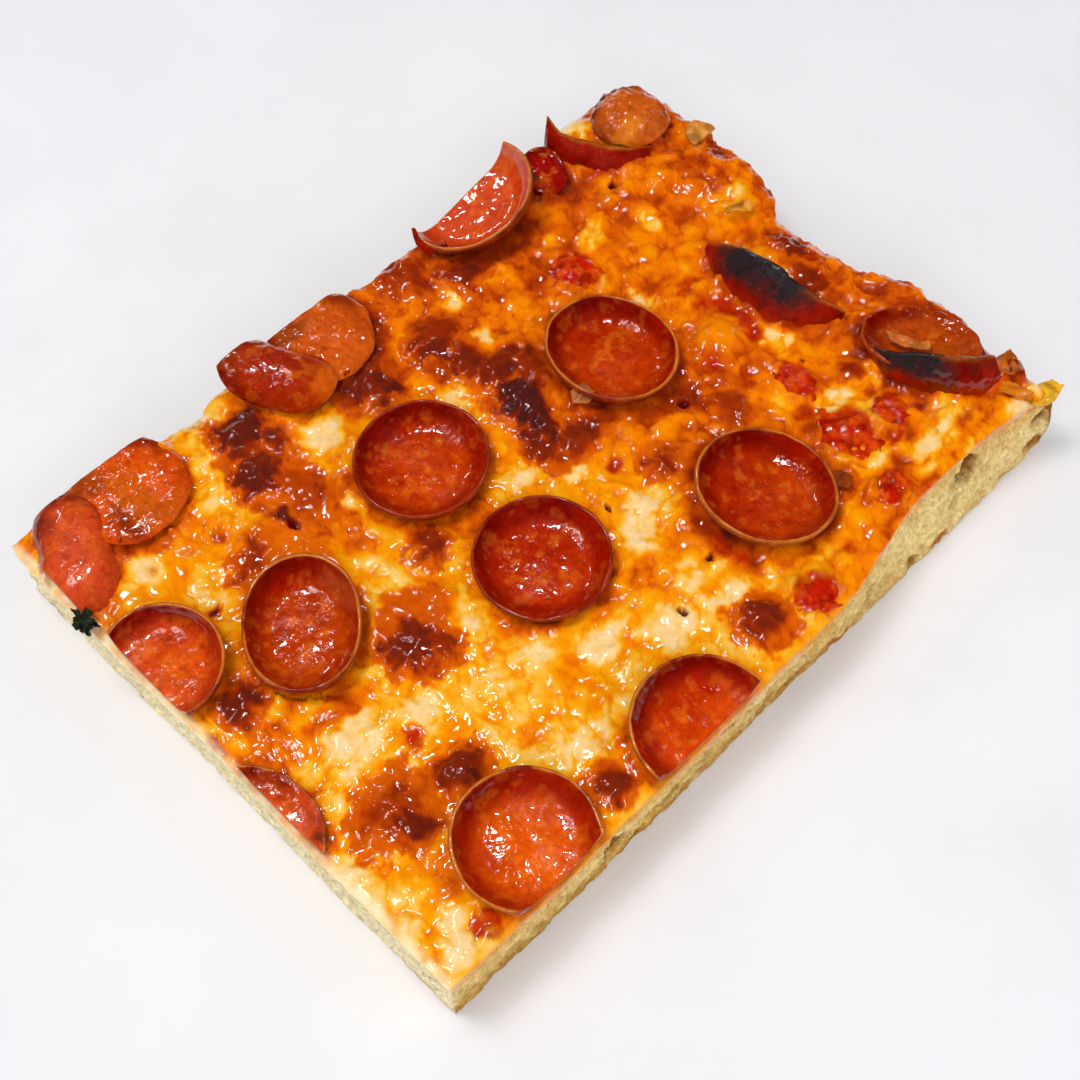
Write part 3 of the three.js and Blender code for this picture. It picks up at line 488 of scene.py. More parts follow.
def even_curve(points, count):
    """count points spaced evenly along a smooth curve."""
    fine = curve(points, np.linspace(0, 1, 2000))
    length = np.concatenate([[0], np.cumsum(np.linalg.norm(np.diff(fine, axis=0), axis=1))])
    at = np.linspace(0, length[-1], count)
    return np.stack([np.interp(at, length, fine[:, k]) for k in range(fine.shape[1])], axis=1)


def even_loop(points, spacing):
    """A closed loop of points walked again in even steps."""
    closed = np.vstack([points, points[:1]])
    length = np.concatenate([[0], np.cumsum(np.linalg.norm(np.diff(closed, axis=0), axis=1))])
    at = np.linspace(0, length[-1], int(length[-1] / spacing), endpoint=False)
    return np.stack([np.interp(at, length, closed[:, k]) for k in range(closed.shape[1])], axis=1)


def outward(loop):
    """Unit vectors pointing out of an anticlockwise loop of x, y points."""
    along = np.roll(loop, -1, axis=0) - np.roll(loop, 1, axis=0)
    normal = np.stack([along[:, 1], -along[:, 0]], axis=1)
    for _ in range(3):
        normal = normal + np.roll(normal, 1, axis=0) + np.roll(normal, -1, axis=0)
    return normal / np.linalg.norm(normal, axis=1, keepdims=True)


class Shell:
    """A closed skin, built up from loops of points that each join the one before: from the middle
    of the underside, out and up the side, and in over the top."""

    NESTED = (0.1, 0.3, 0.5, 0.68, 0.82, 0.92, 0.97, 0.99)

    def __init__(self):
        self.parts = []
        self.faces = []
        self.count = 0
        self.last = None

    def add(self, points, paint, wet):
        """Adds points with their colours and wetness, and gives their numbers."""
        self.parts.append((points, np.broadcast_to(paint, points.shape),
                           np.broadcast_to(wet, len(points))))
        self.count += len(points)
        return np.arange(self.count - len(points), self.count)

    def join(self, numbers):
        """Joins the last loop to another."""
        if self.last is None:
            self.faces.append(numbers[::-1].tolist())
        else:
            self.faces += cell_faces(np.stack([self.last, numbers]), wrap=True)
        self.last = numbers

    def row(self, points, paint, wet):
        """Adds one loop and joins the last one to it."""
        self.join(self.add(points, paint, wet))

    def across(self, loop, level, paint, wet, shares):
        """Fills in a loop of x, y points with smaller ones, in the order of shares. The level and
        the paint may each be a function of the place."""
        middle = loop.mean(axis=0)
        for share in shares:
            ring = middle + (loop - middle) * share
            height = level(ring) if callable(level) else level
            place = np.column_stack([ring, np.broadcast_to(height, len(ring))])
            self.row(place, paint(place) if callable(paint) else paint, wet)

    def underside(self, loop, level, paint, wet):
        """Starts the skin: a flat underside inside a loop."""
        self.across(loop, level, paint, wet, self.NESTED)

    def lid(self, loop, level, paint, wet):
        """Ends the skin: a flat top inside a loop."""
        self.across(loop, level, paint, wet, self.NESTED[::-1])
        self.faces.append(self.last.tolist())

    def piece(self, name):
        """The finished skin as an object."""
        points, paint, wet = (np.concatenate(column) for column in zip(*self.parts))
        return make_piece(name, points, self.faces, paint, wet)


# ------------------------------------------------------------------ materials


class Shade:
    """The nodes of one material."""

    def __init__(self, name):
        self.material = bpy.data.materials.new(name)
        self.material.use_nodes = True
        self.tree = self.material.node_tree
        self.bsdf = self.tree.nodes["Principled BSDF"]
        self.place = self.node("ShaderNodeTexCoord")["Object"]

    def feed(self, target, value):
        """Gives an input a value, or another node's output."""
        if isinstance(value, bpy.types.NodeSocket):
            self.tree.links.new(value, target)
        else:
            target.default_value = value

    def node(self, kind, inputs=None, **settings):
        """The outputs of a new node with these inputs and settings."""
        made = self.tree.nodes.new(kind)
        for key, value in settings.items():
            setattr(made, key, value)
        for key, value in (inputs or {}).items():
            self.feed(made.inputs[key], value)
        return made.outputs

    def attribute(self, name, output):
        """What make_piece stored for each point."""
        return self.node("ShaderNodeAttribute", attribute_name=name)[output]

    def noise(self, size_mm, detail=3.0):
        """Noise with features of a size."""
        return self.node("ShaderNodeTexNoise", {
            "Scale": 1000 / size_mm, "Detail": detail, "Roughness": 0.55, "Vector": self.place,
        })["Fac"]

    def beads(self, size_mm, bare):
        """Little domes size_mm apart, gathered in patches, and missing from the bare share of their
        places."""
        strewn = self.node("ShaderNodeTexVoronoi", {
            "Scale": 1000 / size_mm, "Randomness": 0.7, "Vector": self.place}, feature="F1")
        dome = self.spread(strewn["Distance"], 0.06, 0.36, 1, 0)
        pick = self.node("ShaderNodeSeparateColor", {"Color": strewn["Color"]})["Red"]
        there = self.spread(pick, bare, bare + 0.15, 0, 1)
        gathered = self.spread(self.noise(5), 0.36, 0.5, 0, 1)
        return self.product(self.product(dome, there), gathered)

    def product(self, a, b):
        """Two outputs multiplied."""
        return self.node("ShaderNodeMath", {0: a, 1: b}, operation="MULTIPLY")["Value"]

    def spread(self, value, low, high, to_low, to_high):
        """value between low and high, spread over to_low and to_high."""
        return self.node("ShaderNodeMapRange", {
            "Value": value, "From Min": low, "From Max": high, "To Min": to_low, "To Max": to_high,
        }, interpolation_type="SMOOTHSTEP")["Result"]

    def blend(self, kind, share, a, b):
        """Colours a and b blended, each an output or a colour."""
        a, b = (c if isinstance(c, bpy.types.NodeSocket) else (*c, 1) for c in (a, b))
        return self.node("ShaderNodeMix", {0: share, 6: a, 7: b}, data_type="RGBA",
                         blend_type=kind)[2]

    def bumps(self, *layers):
        """Layers of (height output, strength, height in mm) laid over each other."""
        below = {}
        for height, strength, tall_mm in layers:
            inputs = {"Strength": strength, "Distance": tall_mm / 1000, "Height": height}
            below = {"Normal": self.node("ShaderNodeBump", inputs | below)["Normal"]}
        self.set(**below)

    def set(self, **settings):
        """Sets or links the shader's own inputs."""
        for name, value in settings.items():
            self.feed(self.bsdf.inputs[name.replace("_", " ")], value)


@dataclass
class Food:
    """How a food looks over its painted colour. Sizes are in mm."""
    name: str
    mottling: float  # size of the fine light and dark spots
    contrast: float  # how much they differ
    rough_dry: float
    rough_wet: float
    soft: float  # how much of the light spreads below the surface
    spread: float  # and how far
    coat: float
    hollows: tuple  # what colour the hollows of the first relief are tinted with, and how strongly
    bumps: tuple  # size, strength and height of each layer of relief
    beads: tuple = ()  # distance apart, bare share, strength and height of the little domes

    def material(self):
        """The material of this food."""
        shade = Shade(self.name)
        mottled = shade.spread(shade.noise(self.mottling, 2), 0.3, 0.7, 1 - self.contrast,
                               1 + self.contrast)
        grey = shade.node("ShaderNodeCombineColor",
                          {"Red": mottled, "Green": mottled, "Blue": mottled})["Color"]
        base = shade.blend("MULTIPLY", 1.0, shade.attribute("paint", "Color"), grey)
        reliefs = [shade.noise(size, 1.5) for size, _, _ in self.bumps]
        # the hollows of the first relief are tinted darker: painted shade, and in the cheese also
        # the orange of oil in its creases
        low = shade.spread(reliefs[0], 0.34, 0.52, self.hollows[1], 0)
        base = shade.blend("MULTIPLY", low, base, self.hollows[0])
        rough = shade.spread(shade.attribute("wet", "Fac"), 0, 1, self.rough_dry, self.rough_wet)
        shade.set(Base_Color=base, Roughness=rough, Subsurface_Weight=self.soft,
                  Subsurface_Scale=self.spread / 1000, Subsurface_Radius=(1.0, 0.6, 0.3),
                  IOR=1.45, Specular_IOR_Level=0.2, Coat_Weight=self.coat, Coat_Roughness=0.04)
        layers = [(relief, strength, tall)
                  for relief, (_, strength, tall) in zip(reliefs, self.bumps)]
        for apart, bare, strength, tall in self.beads:
            layers.append((shade.beads(apart, bare), strength, tall))
        shade.bumps(*layers)
        return shade.material


BAKED_CHEESE = Food(
    "baked_cheese", mottling=1.4, contrast=0.05, rough_dry=0.26, rough_wet=0.06, soft=0.2,
    spread=0.7, coat=0.8, hollows=((1, 0.8, 0.4), 0.45),
    bumps=((2.4, 0.5, 0.4), (1.1, 0.25, 0.2)), beads=((1.0, 0.4, 0.5, 0.14),)).material()
FRIED_CHEESE = Food(
    "fried_cheese", mottling=1.4, contrast=0.1, rough_dry=0.5, rough_wet=0.3, soft=0.2,
    spread=0.7, coat=0.2, hollows=((0.9, 0.66, 0.4), 0.6),
    bumps=((2.0, 0.6, 0.5), (0.9, 0.5, 0.3))).material()
CURED_MEAT = Food(
    "cured_meat", mottling=1.1, contrast=0.12, rough_dry=0.34, rough_wet=0.1, soft=0.12,
    spread=0.6, coat=0.8, hollows=((0.9, 0.66, 0.3), 0.4),
    bumps=((2.4, 0.3, 0.3), (0.9, 0.4, 0.3)), beads=((0.9, 0.35, 0.6, 0.16),)).material()
STEWED_TOMATO = Food(
    "stewed_tomato", mottling=1.0, contrast=0.14, rough_dry=0.3, rough_wet=0.06, soft=0.2,
    spread=0.8, coat=0.6, hollows=((0.8, 0.5, 0.4), 0.5),
    bumps=((2.4, 0.4, 0.4), (0.8, 0.25, 0.14)), beads=((1.0, 0.6, 0.3, 0.12),)).material()
BREAD_CRUMB = Food(
    "bread_crumb", mottling=0.9, contrast=0.12, rough_dry=0.9, rough_wet=0.4, soft=0.12,
    spread=0.6, coat=0.0, hollows=((0.88, 0.78, 0.54), 0.5),
    bumps=((1.1, 1.0, 0.9), (0.6, 1.0, 0.4))).material()
SCORCHED_HERB = Food(
    "scorched_herb", mottling=0.8, contrast=0.4, rough_dry=0.6, rough_wet=0.35, soft=0.1,
    spread=0.4, coat=0.2, hollows=((0.6, 0.6, 0.5), 0.5), bumps=((0.8, 0.6, 0.2),)).material()


def dress(piece, material, slot, *nodes):
    """piece takes a material and stands for these CAD nodes."""
    piece.data.materials.append(material)
    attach(piece, "root")
    if nodes:
        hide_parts(*nodes)


# ------------------------------------------------------------------ meat


def turned(points, angle, toward):
    """Points turned by angle so that their side toward rises."""
    axis = np.array([math.sin(toward), -math.cos(toward), 0.0])
    along = points @ axis
    return (points * math.cos(angle) + np.cross(axis, points) * math.sin(angle)
            + along[..., None] * axis * (1 - math.cos(angle)))


def rim_turn(meat, angle):
    """How far the meat has turned up at its rim, in radians."""
    return math.radians(meat.bend) * (
        1 + meat.oval * np.cos(2 * (angle - math.radians(meat.oval_at)))
        + meat.side * np.cos(angle - math.radians(meat.side_at)))


def widening(meat, angle):
    """How much wider than a round slice it is at an angle."""
    return 1 + meat.squash * np.cos(2 * (angle - math.radians(meat.squash_at)))


def slice_point(meat, share, angle, offset):
    """A point of a slice, as in the CAD: share from its middle to its rim, offset above the middle
    of its thickness."""
    flat = meat.floor * meat.size
    radius = (meat.size - flat) / rim_turn(meat, angle)
    slope = np.maximum(share * meat.size - flat, 0) / radius
    reach = (np.minimum(share * meat.size, flat) + radius * np.sin(slope)) * widening(meat, angle)
    reach = reach - offset * np.sin(slope)
    up = radius * (1 - np.cos(slope)) + offset * np.cos(slope)
    local = np.stack([reach * np.cos(angle), reach * np.sin(angle), up], axis=-1)
    lifted = turned(local, math.radians(meat.lean), math.radians(meat.toward))
    return lifted + (meat.x, meat.y, meat.z)


def slice_above(meat, x, y):
    """Height of the underside of a slice over x, y, and how far outside its rim the place is."""
    dx, dy = x - meat.x, y - meat.y
    angle = np.arctan2(dy, dx)
    away = np.hypot(dx, dy) / widening(meat, angle)
    flat = meat.floor * meat.size
    turn = rim_turn(meat, angle)
    radius = (meat.size - flat) / turn
    rim = flat + radius * np.sin(turn)
    slope = np.arcsin(np.clip(np.maximum(away - flat, 0) / radius, -0.995, 0.995))
    up = radius * (1 - np.cos(slope)) - MEAT_THICKNESS / 2 / np.cos(slope)
    tilt = math.tan(math.radians(meat.lean)) * (
        dx * math.cos(math.radians(meat.toward)) + dy * math.sin(math.radians(meat.toward)))
    return meat.z + up + tilt, (away - rim) * widening(meat, angle)


def clip(mesh, limits):
    """Cuts a mesh flat at each (place, outward direction) in mm, and closes it."""
    bm = bmesh.new()
    bm.from_mesh(mesh)
    for place, direction in limits:
        at = Vector((np.array(place, float) + SHIFT) / 1000)
        result = bmesh.ops.bisect_plane(bm, geom=bm.verts[:] + bm.edges[:] + bm.faces[:],
                                        plane_co=at, plane_no=Vector(direction), clear_outer=True)
        edges = [g for g in result["geom_cut"] if isinstance(g, bmesh.types.BMEdge)]
        bmesh.ops.holes_fill(bm, edges=edges, sides=0)
    bm.to_mesh(mesh)
    bm.free()


SLICE_LIMITS = [((CUT_LEFT, 0, 0), (-1, 0, 0)), ((0, CUT_FRONT, 0), (0, -1, 0)),
                ((0, CUT_BACK, 0), (0, 1, 0))]
ROUND = 200  # points round a slice
UNDER_SHARES = np.concatenate([[0.02], np.linspace(0.1, 0.9, 9), [0.955, 0.985]])
UPPER_SHARES = np.concatenate([[0.02], np.linspace(0.06, 0.9, 30),
                               [0.925, 0.945, 0.965, 0.98, 0.992]])


def stained_and_lit(points, paint):
    """Meat's colour with its browned, oily and charred places, and one patch of painted light on
    the right inner wall of pepperoni_05.
    """
    x = points[:, 0] + 0.8 * noise(points, 3, 23)
    y = points[:, 1] + 0.8 * noise(points, 3, 24)
    for row in STAINS_AND_LIT_PATCH:
        paint = mix(paint, colour(*row[5]), row[4] * step(0, 0.55, patch(x, y, row)))
    return paint


def meat_paint(points, share, inside, meat, look):
    """The colour of a slice: share runs to the rim, inside is 1 on its upper face. Its floor and
    wall carry painted light towards the front cut and painted shade at the back of the wall."""
    blotch = noise(points, 5, 21)
    fleck = noise(points, 2, 22)
    grain = noise(points, 1.2, 25, 2)
    # painted light and shade: floor and wall lighter towards the front cut, darker at the back of
    # the wall, which faces away from the lamps
    painted_light_front = 0.5 - 0.6 * (points[:, 1] - meat.y) / meat.size
    floor = mix(look["wall"], look["floor"], 0.2 + 0.8 * painted_light_front + 0.4 * blotch)
    wall = mix(look["deep"], look["wall"], 0.1 + 0.9 * painted_light_front + 0.4 * blotch)
    upper = mix(floor, wall, step(0.5, 0.85, share + 0.14 * blotch))
    upper = mix(upper, MEAT_FAT, 0.5 * step(0.1, 0.8, fleck + 0.4 * grain) * (1 - 0.8 * share))
    upper = mix(upper, look["deep"], look["flecks"] * step(0.3, 0.8, grain - 0.2 * fleck))
    under = mix(look["outside"], look["outside"] * 0.5, 0.3 + 0.6 * blotch)
    under = mix(under, DEEP_ORANGE, 0.4 * step(0, 0.8, fleck))
    skin = mix(under, upper, inside)
    edge = step(0.975, 0.995, share) * (0.5 + 0.5 * inside)
    gilt = step(-0.8, 0.1, noise(points, 7, 26) + 0.2 * fleck)
    skin = mix(skin, mix(look["outside"], look["rim"], gilt), edge)
    return stained_and_lit(points, skin)


LOOKS = {"floor": MEAT_FLOOR, "wall": MEAT_WALL, "deep": MEAT_DEEP, "outside": MEAT_OUTSIDE,
         "rim": MEAT_GOLD, "flecks": 0.3, "wet": 0.75}
OWN_LOOKS = {  # where a slice differs from LOOKS
    "pepperoni_02": {"rim": colour(160, 54, 22)},
    "pepperoni_03": {"floor": colour(198, 54, 8), "rim": colour(160, 54, 20)},
    "pepperoni_04": {"outside": colour(152, 70, 26)},
    "pepperoni_05": {"floor": colour(200, 70, 6), "wet": 0.95},
    "pepperoni_06": {"floor": colour(230, 88, 18), "wall": colour(186, 44, 12)},
    "pepperoni_07": {"floor": colour(240, 100, 34), "wall": colour(226, 78, 26)},
    "pepperoni_08": {"floor": colour(232, 92, 2), "wall": colour(178, 34, 2), "flecks": 0.1},
    "pepperoni_09": {"floor": colour(224, 76, 4), "wall": colour(176, 28, 2), "flecks": 0.1},
    "pepperoni_10": {"floor": colour(218, 80, 40), "wall": colour(200, 66, 24),
                     "outside": colour(176, 50, 22), "rim": colour(178, 54, 22)},
    "pepperoni_11": {"floor": colour(232, 90, 12), "wall": colour(220, 78, 10),
                     "outside": colour(156, 36, 10), "rim": colour(192, 76, 14)},
    "pepperoni_12": {"floor": colour(160, 36, 6), "wall": colour(168, 44, 4),
                     "outside": colour(118, 24, 6), "rim": colour(204, 82, 6)},
    "pepperoni_13": {"floor": colour(212, 86, 16), "wall": colour(204, 84, 16),
                     "outside": colour(140, 40, 10), "rim": colour(196, 86, 16)},
    "pepperoni_14": {"floor": colour(218, 74, 4), "wall": colour(204, 56, 4),
                     "deep": colour(178, 46, 8), "wet": 0.2},
    "pepperoni_16": {"floor": colour(200, 88, 18), "wall": colour(206, 96, 22),
                     "outside": colour(168, 60, 16), "rim": colour(186, 80, 22)},
    "pepperoni_17": {"floor": colour(164, 12, 5), "wall": colour(150, 10, 5),
                     "outside": colour(120, 8, 4), "rim": colour(140, 16, 8)},
    "pepperoni_19": {"floor": colour(192, 78, 10), "wall": colour(184, 66, 10),
                     "outside": colour(140, 40, 8), "rim": colour(176, 66, 12)},
}
CRINKLED = {  # how uneven a slice is, against 1 for the others
    "pepperoni_05": 0.6, "pepperoni_11": 2.4, "pepperoni_12": 1.8, "pepperoni_13": 2.4,
    "pepperoni_14": 0.5, "pepperoni_16": 3, "pepperoni_17": 2.4, "pepperoni_19": 2.2,
}


def make_slice(name):
    """A curled slice with a thin crisp rim and a dimpled, oily surface."""
    meat = SLICES[name]
    crinkle = CRINKLED.get(name, 1)
    angle = round_angles(ROUND)
    wobble = noise(points_of(3 * np.cos(angle), 3 * np.sin(angle), meat.x), 2.2, 31)
    rows = []
    shares = []
    insides = []
    for inside, row_shares in ((0, UNDER_SHARES), (0.5, [1.0]), (1, UPPER_SHARES[::-1])):
        for share in row_shares:
            half = (MEAT_THICKNESS - RIM_THINNING * share) / 2
            half *= 1 - 0.45 * step(0.9, 1, share)
            offset = (2 * inside - 1) * half
            smooth = slice_point(meat, share, angle, offset)
            relief = 0.12 * noise(smooth, 4, 32, 2) + 0.09 * noise(smooth, 1.6, 33, 2)
            reach = share * (1 + 0.02 * crinkle * wobble * share ** 2)
            rows.append(slice_point(meat, reach, angle, offset + crinkle * relief * (inside == 1)))
            shares.append(np.full(ROUND, share))
            insides.append(np.full(ROUND, float(inside)))
    points = np.concatenate(rows)
    share = np.concatenate(shares)
    inside = np.concatenate(insides)
    faces = tube_faces(np.arange(len(points)).reshape(len(rows), ROUND))
    look = LOOKS | OWN_LOOKS.get(name, {})
    paint = meat_paint(points, share, inside, meat, look)
    wet = look["wet"] + 0.5 * noise(points, 6, 34) - 0.5 * step(0.92, 1, share)
    piece = make_piece(name + "_meat", points, faces, paint, wet)
    clip(piece.data, SLICE_LIMITS)
    return piece


def blade_points(blade, across, up, offset):
    """Points of an upright wall at shares across and up, offset along its bulge."""
    toward = math.radians(blade["bulge_toward"])
    out = np.array([math.cos(toward), math.sin(toward), 0])
    low = curve(blade["foot"], across)
    high = curve(blade["rim"], across)
    bow = blade["bulge"] * np.sin(math.pi * np.clip(up, 0, 1)) + offset
    return low + (high - low) * up[..., None] + bow[..., None] * out


def blade_paint(points, along, share, char):
    """The colour of an upright wall and how oily it is: dark meat, orange at its foot, charred from
    the rim down between two shares of its length, and golden along the rest of the rim."""
    char_from, char_to, char_low = char
    blotch = noise(points, 4, 44)
    paint = mix(MEAT_WALL, MEAT_DEEP, 0.5 + 0.6 * blotch)
    paint = mix(paint, DEEP_ORANGE, 0.4 * step(0.4, 0, share))
    burnt = step(char_from - 0.12, char_from + 0.14, along + 0.05 * blotch)
    burnt = burnt * step(char_to + 0.12, char_to - 0.14, along + 0.05 * blotch)
    burnt = burnt * step(char_low - 0.15, char_low + 0.6, share + 0.15 * blotch)
    speckle = 0.16 * noise(points, 0.9, 40, 2)
    paint = mix(paint, MEAT_SCORCHED, step(0.05, 0.6, burnt + speckle))
    paint = mix(paint, MEAT_CHAR, step(0.45, 1, burnt + speckle))
    crest = step(0.93, 1, share) * (1 - burnt)
    paint = mix(paint, MEAT_GOLD * 0.7, 0.6 * crest)
    return stained_and_lit(points, paint), 0.6 - 0.5 * burnt + 0.3 * blotch


def make_blade(name):
    """The upright wall of a slice: two bowed sheets that meet round their edge."""
    blade = BLADES[name]
    across, up = np.meshgrid(np.linspace(0, 1, 110), np.linspace(-0.1, 1, 26))
    half = (MEAT_THICKNESS - RIM_THINNING) / 2 * (1 - 0.5 * step(0.8, 1, up))
    half = half * (1 - 0.6 * step(0.86, 1, np.abs(2 * across - 1)))
    ragged = points_of(across * 30, up * 0)
    tall = up * (1 + 0.03 * noise(ragged, 4, 41))
    layers = []
    for side in (1, -1):
        smooth = blade_points(blade, across, tall, side * half)
        relief = 0.25 * noise(smooth, 4, 42) + 0.12 * noise(smooth, 1.3, 43)
        layers.append(blade_points(blade, across, tall, side * half + relief))
    points = np.concatenate([layer.reshape(-1, 3) for layer in layers])
    count = across.size
    front = np.arange(count).reshape(across.shape)
    back = front + count
    faces = cell_faces(front) + cell_faces(back[:, ::-1])
    ring = np.stack([border(back), border(front)])
    faces += cell_faces(ring, wrap=True)
    along, share = (np.concatenate([value.ravel()] * 2) for value in (across, up))
    paint, wet = blade_paint(points, along, share, blade["char"])
    return make_piece(name + "_wall", points, faces, paint, wet)


def make_shred():
    """The dark curl torn from the rim of the half slice at the back."""
    steps, sides = 40, 14
    middle = curve(TORN_CURL, np.linspace(0, 1, steps))
    along = np.gradient(middle, axis=0)
    along /= np.linalg.norm(along, axis=1, keepdims=True)
    first = np.cross(along, (0.3, 1, 0.2))
    first /= np.linalg.norm(first, axis=1, keepdims=True)
    second = np.cross(along, first)
    angle = round_angles(sides)
    thick = np.linspace(1.4, 0.35, steps)[:, None, None]
    ring = np.cos(angle)[None, :, None] * first[:, None] \
        + 0.6 * np.sin(angle)[None, :, None] * second[:, None]
    points = (middle[:, None] + thick * ring).reshape(-1, 3)
    points += 0.15 * noise(points, 1.5, 45)[:, None]
    faces = tube_faces(np.arange(len(points)).reshape(steps, sides))
    paint = mix(MEAT_WALL, MEAT_OUTSIDE, 0.4 + noise(points, 2, 46))
    piece = make_piece("pepperoni_14_shred", points, faces, paint, np.full(len(points), 0.6))
    clip(piece.data, SLICE_LIMITS)
    return piece


# ------------------------------------------------------------------ cheese

CHEESE_STEPS = (344, 242)  # points along X and along Y
CHEESE_SPACING = 0.45  # about how far apart they are
EDGE_DROP = 0.6  # how far the cheese sinks towards its edge
EDGE_WIDTH = 1.6  # over the last stretch
CHEESE_FOLD = ((1, -0.1), (0.88, 0.2), (0.68, 0.34), (0.42, 0.34), (0.18, 0.22))  # down, out
SHREDDED_SIZE = 3.6  # of the shreds that the cheese has melted from
BUBBLE_SIZE = 5.6


def filled(edges, columns, rows):
    """A grid of x, y points that meets four edges."""
    front, back = (even_curve(edges[side], columns) for side in ("front", "back"))
    left, right = (even_curve(edges[side], rows) for side in ("left", "right"))
    u = np.linspace(0, 1, columns)[None, :, None]
    v = np.linspace(0, 1, rows)[:, None, None]
    corners = ((1 - u) * ((1 - v) * front[0] + v * back[0])
               + u * ((1 - v) * front[-1] + v * back[-1]))
    return ((1 - v) * front[None] + v * back[None] + (1 - u) * left[:, None]
            + u * right[:, None] - corners)


def dome(away, edge):
    """1 in the middle of a swelling, falling to 0 at its edge, where away is 1."""
    return step(1, 1 - edge, away)


def melted(x, y):
    """The shreds that the cheese has melted from: how domed each place is, how close to a seam
    between two, and a number from -1 to 1 for its shred."""
    wx, wy = warped(x, y, (2.2, 6, 51, 53), (0.7, 2.2, 52, 54))
    along = cells(wx * 0.5, wy, SHREDDED_SIZE, 55)
    across = cells(wx, wy * 0.5, SHREDDED_SIZE, 56)
    turn = step(-0.15, 0.15, noise(points_of(x, y), 15, 47))
    near, after, lot = (a + (b - a) * turn for a, b in zip(along, across))
    return np.clip(1 - (near / 2.6) ** 2, 0, 1), step(0.6, 0.05, after - near), lot


def raised_places(wx, wy, wrinkle, crumple):
    """How far buried slices and blisters raise the cheese, and the tone that they give it."""
    raised = np.zeros_like(wx)
    tone = np.zeros_like(wx)
    for cx, cy, rx, ry, tall, peak in DISCS:
        away = np.hypot((wx - cx) / rx, (wy - cy) / ry)
        raised = np.maximum(raised, tall * dome(away, 0.25))
        tone = np.maximum(tone, peak * dome(away + 0.1 * wrinkle, 0.35))
    buried = raised
    for cx, cy, rx, ry, tall, peak in BLISTERS:
        away = np.hypot((wx - cx) / rx, (wy - cy) / ry)
        raised = np.maximum(raised, buried + tall * dome(away, 0.9) * (1 + 0.12 * wrinkle))
        spread = away + 0.2 * wrinkle + 0.12 * crumple
        baked = mix(0.8, peak, step(0.9, 0.3, spread)) * step(1.24, 0.98, spread)
        tone = np.maximum(tone, baked)
    return raised, tone


def cheese_form(x, y):
    """The cheese before the toppings press into it: its height, its small relief and the tone that
    its blisters give it."""
    at = points_of(x, y)
    wx, wy = warped(x, y, (1.3, 6, 51, 53), (0.5, 2.2, 52, 54))
    domed, seam, lot = melted(x, y)
    near = cells(wx, wy, BUBBLE_SIZE, 50)[0]
    ridges = 1 - 2.2 * np.abs(noise(points_of(wx, wy), 7, 45, 2))
    crisp = step(62, 84, x + 5 * noise(at, 10, 49))
    relief = 0.38 * np.clip(1 - (near / 3.8) ** 2, 0, 1) + 0.22 * ridges
    relief = relief + (0.26 + 0.2 * lot) * domed - 0.07 * seam + 0.24 * noise(at, 3.4, 57)
    relief = relief * (1 + 0.5 * crisp)
    height = CHEESE_TOP - 0.5 + 0.4 * noise(at, 10, 58)
    height = height + sum(row[-1] * np.clip(2 * patch(x, y, row), 0, 1) ** 0.5
                          * step(0, 1, patch(x, y, row)) for row in SWELLS)
    crumple = 0.4 - 2 * np.abs(noise(points_of(wx, wy), 3, 60))
    raised, tone = raised_places(wx, wy, noise(at, 2.6, 59), crumple)
    baked = step(0.75, 1.2, tone)
    relief = relief * (1 - 0.5 * baked)
    relief = relief + (0.04 + 0.26 * baked + 0.12 * crisp) * (crumple + 0.3 * noise(at, 1.4, 44, 1))
    tone = tone - 0.08 * baked * crumple
    pits = sum(row[-1] * step(0, 0.45, patch(x, y, row)) for row in PITS)
    return height + raised - pits, relief, tone, pits


def blade_laps(x, y):
    """1 at the feet of the upright slices, where cheese sticks to them."""
    lap = np.zeros_like(x)
    for blade in BLADES.values():
        foot = curve(blade["foot"], np.linspace(0, 1, 60))
        away = np.full_like(x, 99.0)
        for fx, fy, _ in foot:
            away = np.minimum(away, np.hypot(x - fx, y - fy))
        lap = np.maximum(lap, np.exp(-(away / 1.7) ** 2))
    return lap


def press(height, x, y):
    """The cheese pressed down under the slices, and how close each place is to a rim."""
    ring = np.zeros_like(x)
    blobs = step(-0.05, 0.45, noise(points_of(x, y), 3.6, 48))
    for name, meat in SLICES.items():
        under, outside = slice_above(meat, x, y)
        height = np.where(outside < 0, np.minimum(height, under - 0.2), height)
        ring = np.maximum(ring, np.exp(-(np.maximum(outside, 0) / 2.4) ** 2))
        if name in LAPPED:
            cover = blobs * np.exp(-((outside + 0.6) / 1.2) ** 2)
            height = np.maximum(height, height + (under + 2 - height) * cover)
    return np.maximum(height, CHEESE_BOTTOM + 0.3), ring


def tomato_rims(x, y):
    """1 along the edges of the pieces of tomato, where the cheese laps over them."""
    lap = np.zeros_like(x)
    for cx, cy, rx, ry, turn, _ in TOMATOES.values():
        spin = math.radians(turn)
        along = (x - cx) * math.cos(spin) + (y - cy) * math.sin(spin)
        across = (y - cy) * math.cos(spin) - (x - cx) * math.sin(spin)
        lap = np.maximum(lap, np.exp(-((np.hypot(along / rx, across / ry) - 1) / 0.22) ** 2))
    return lap


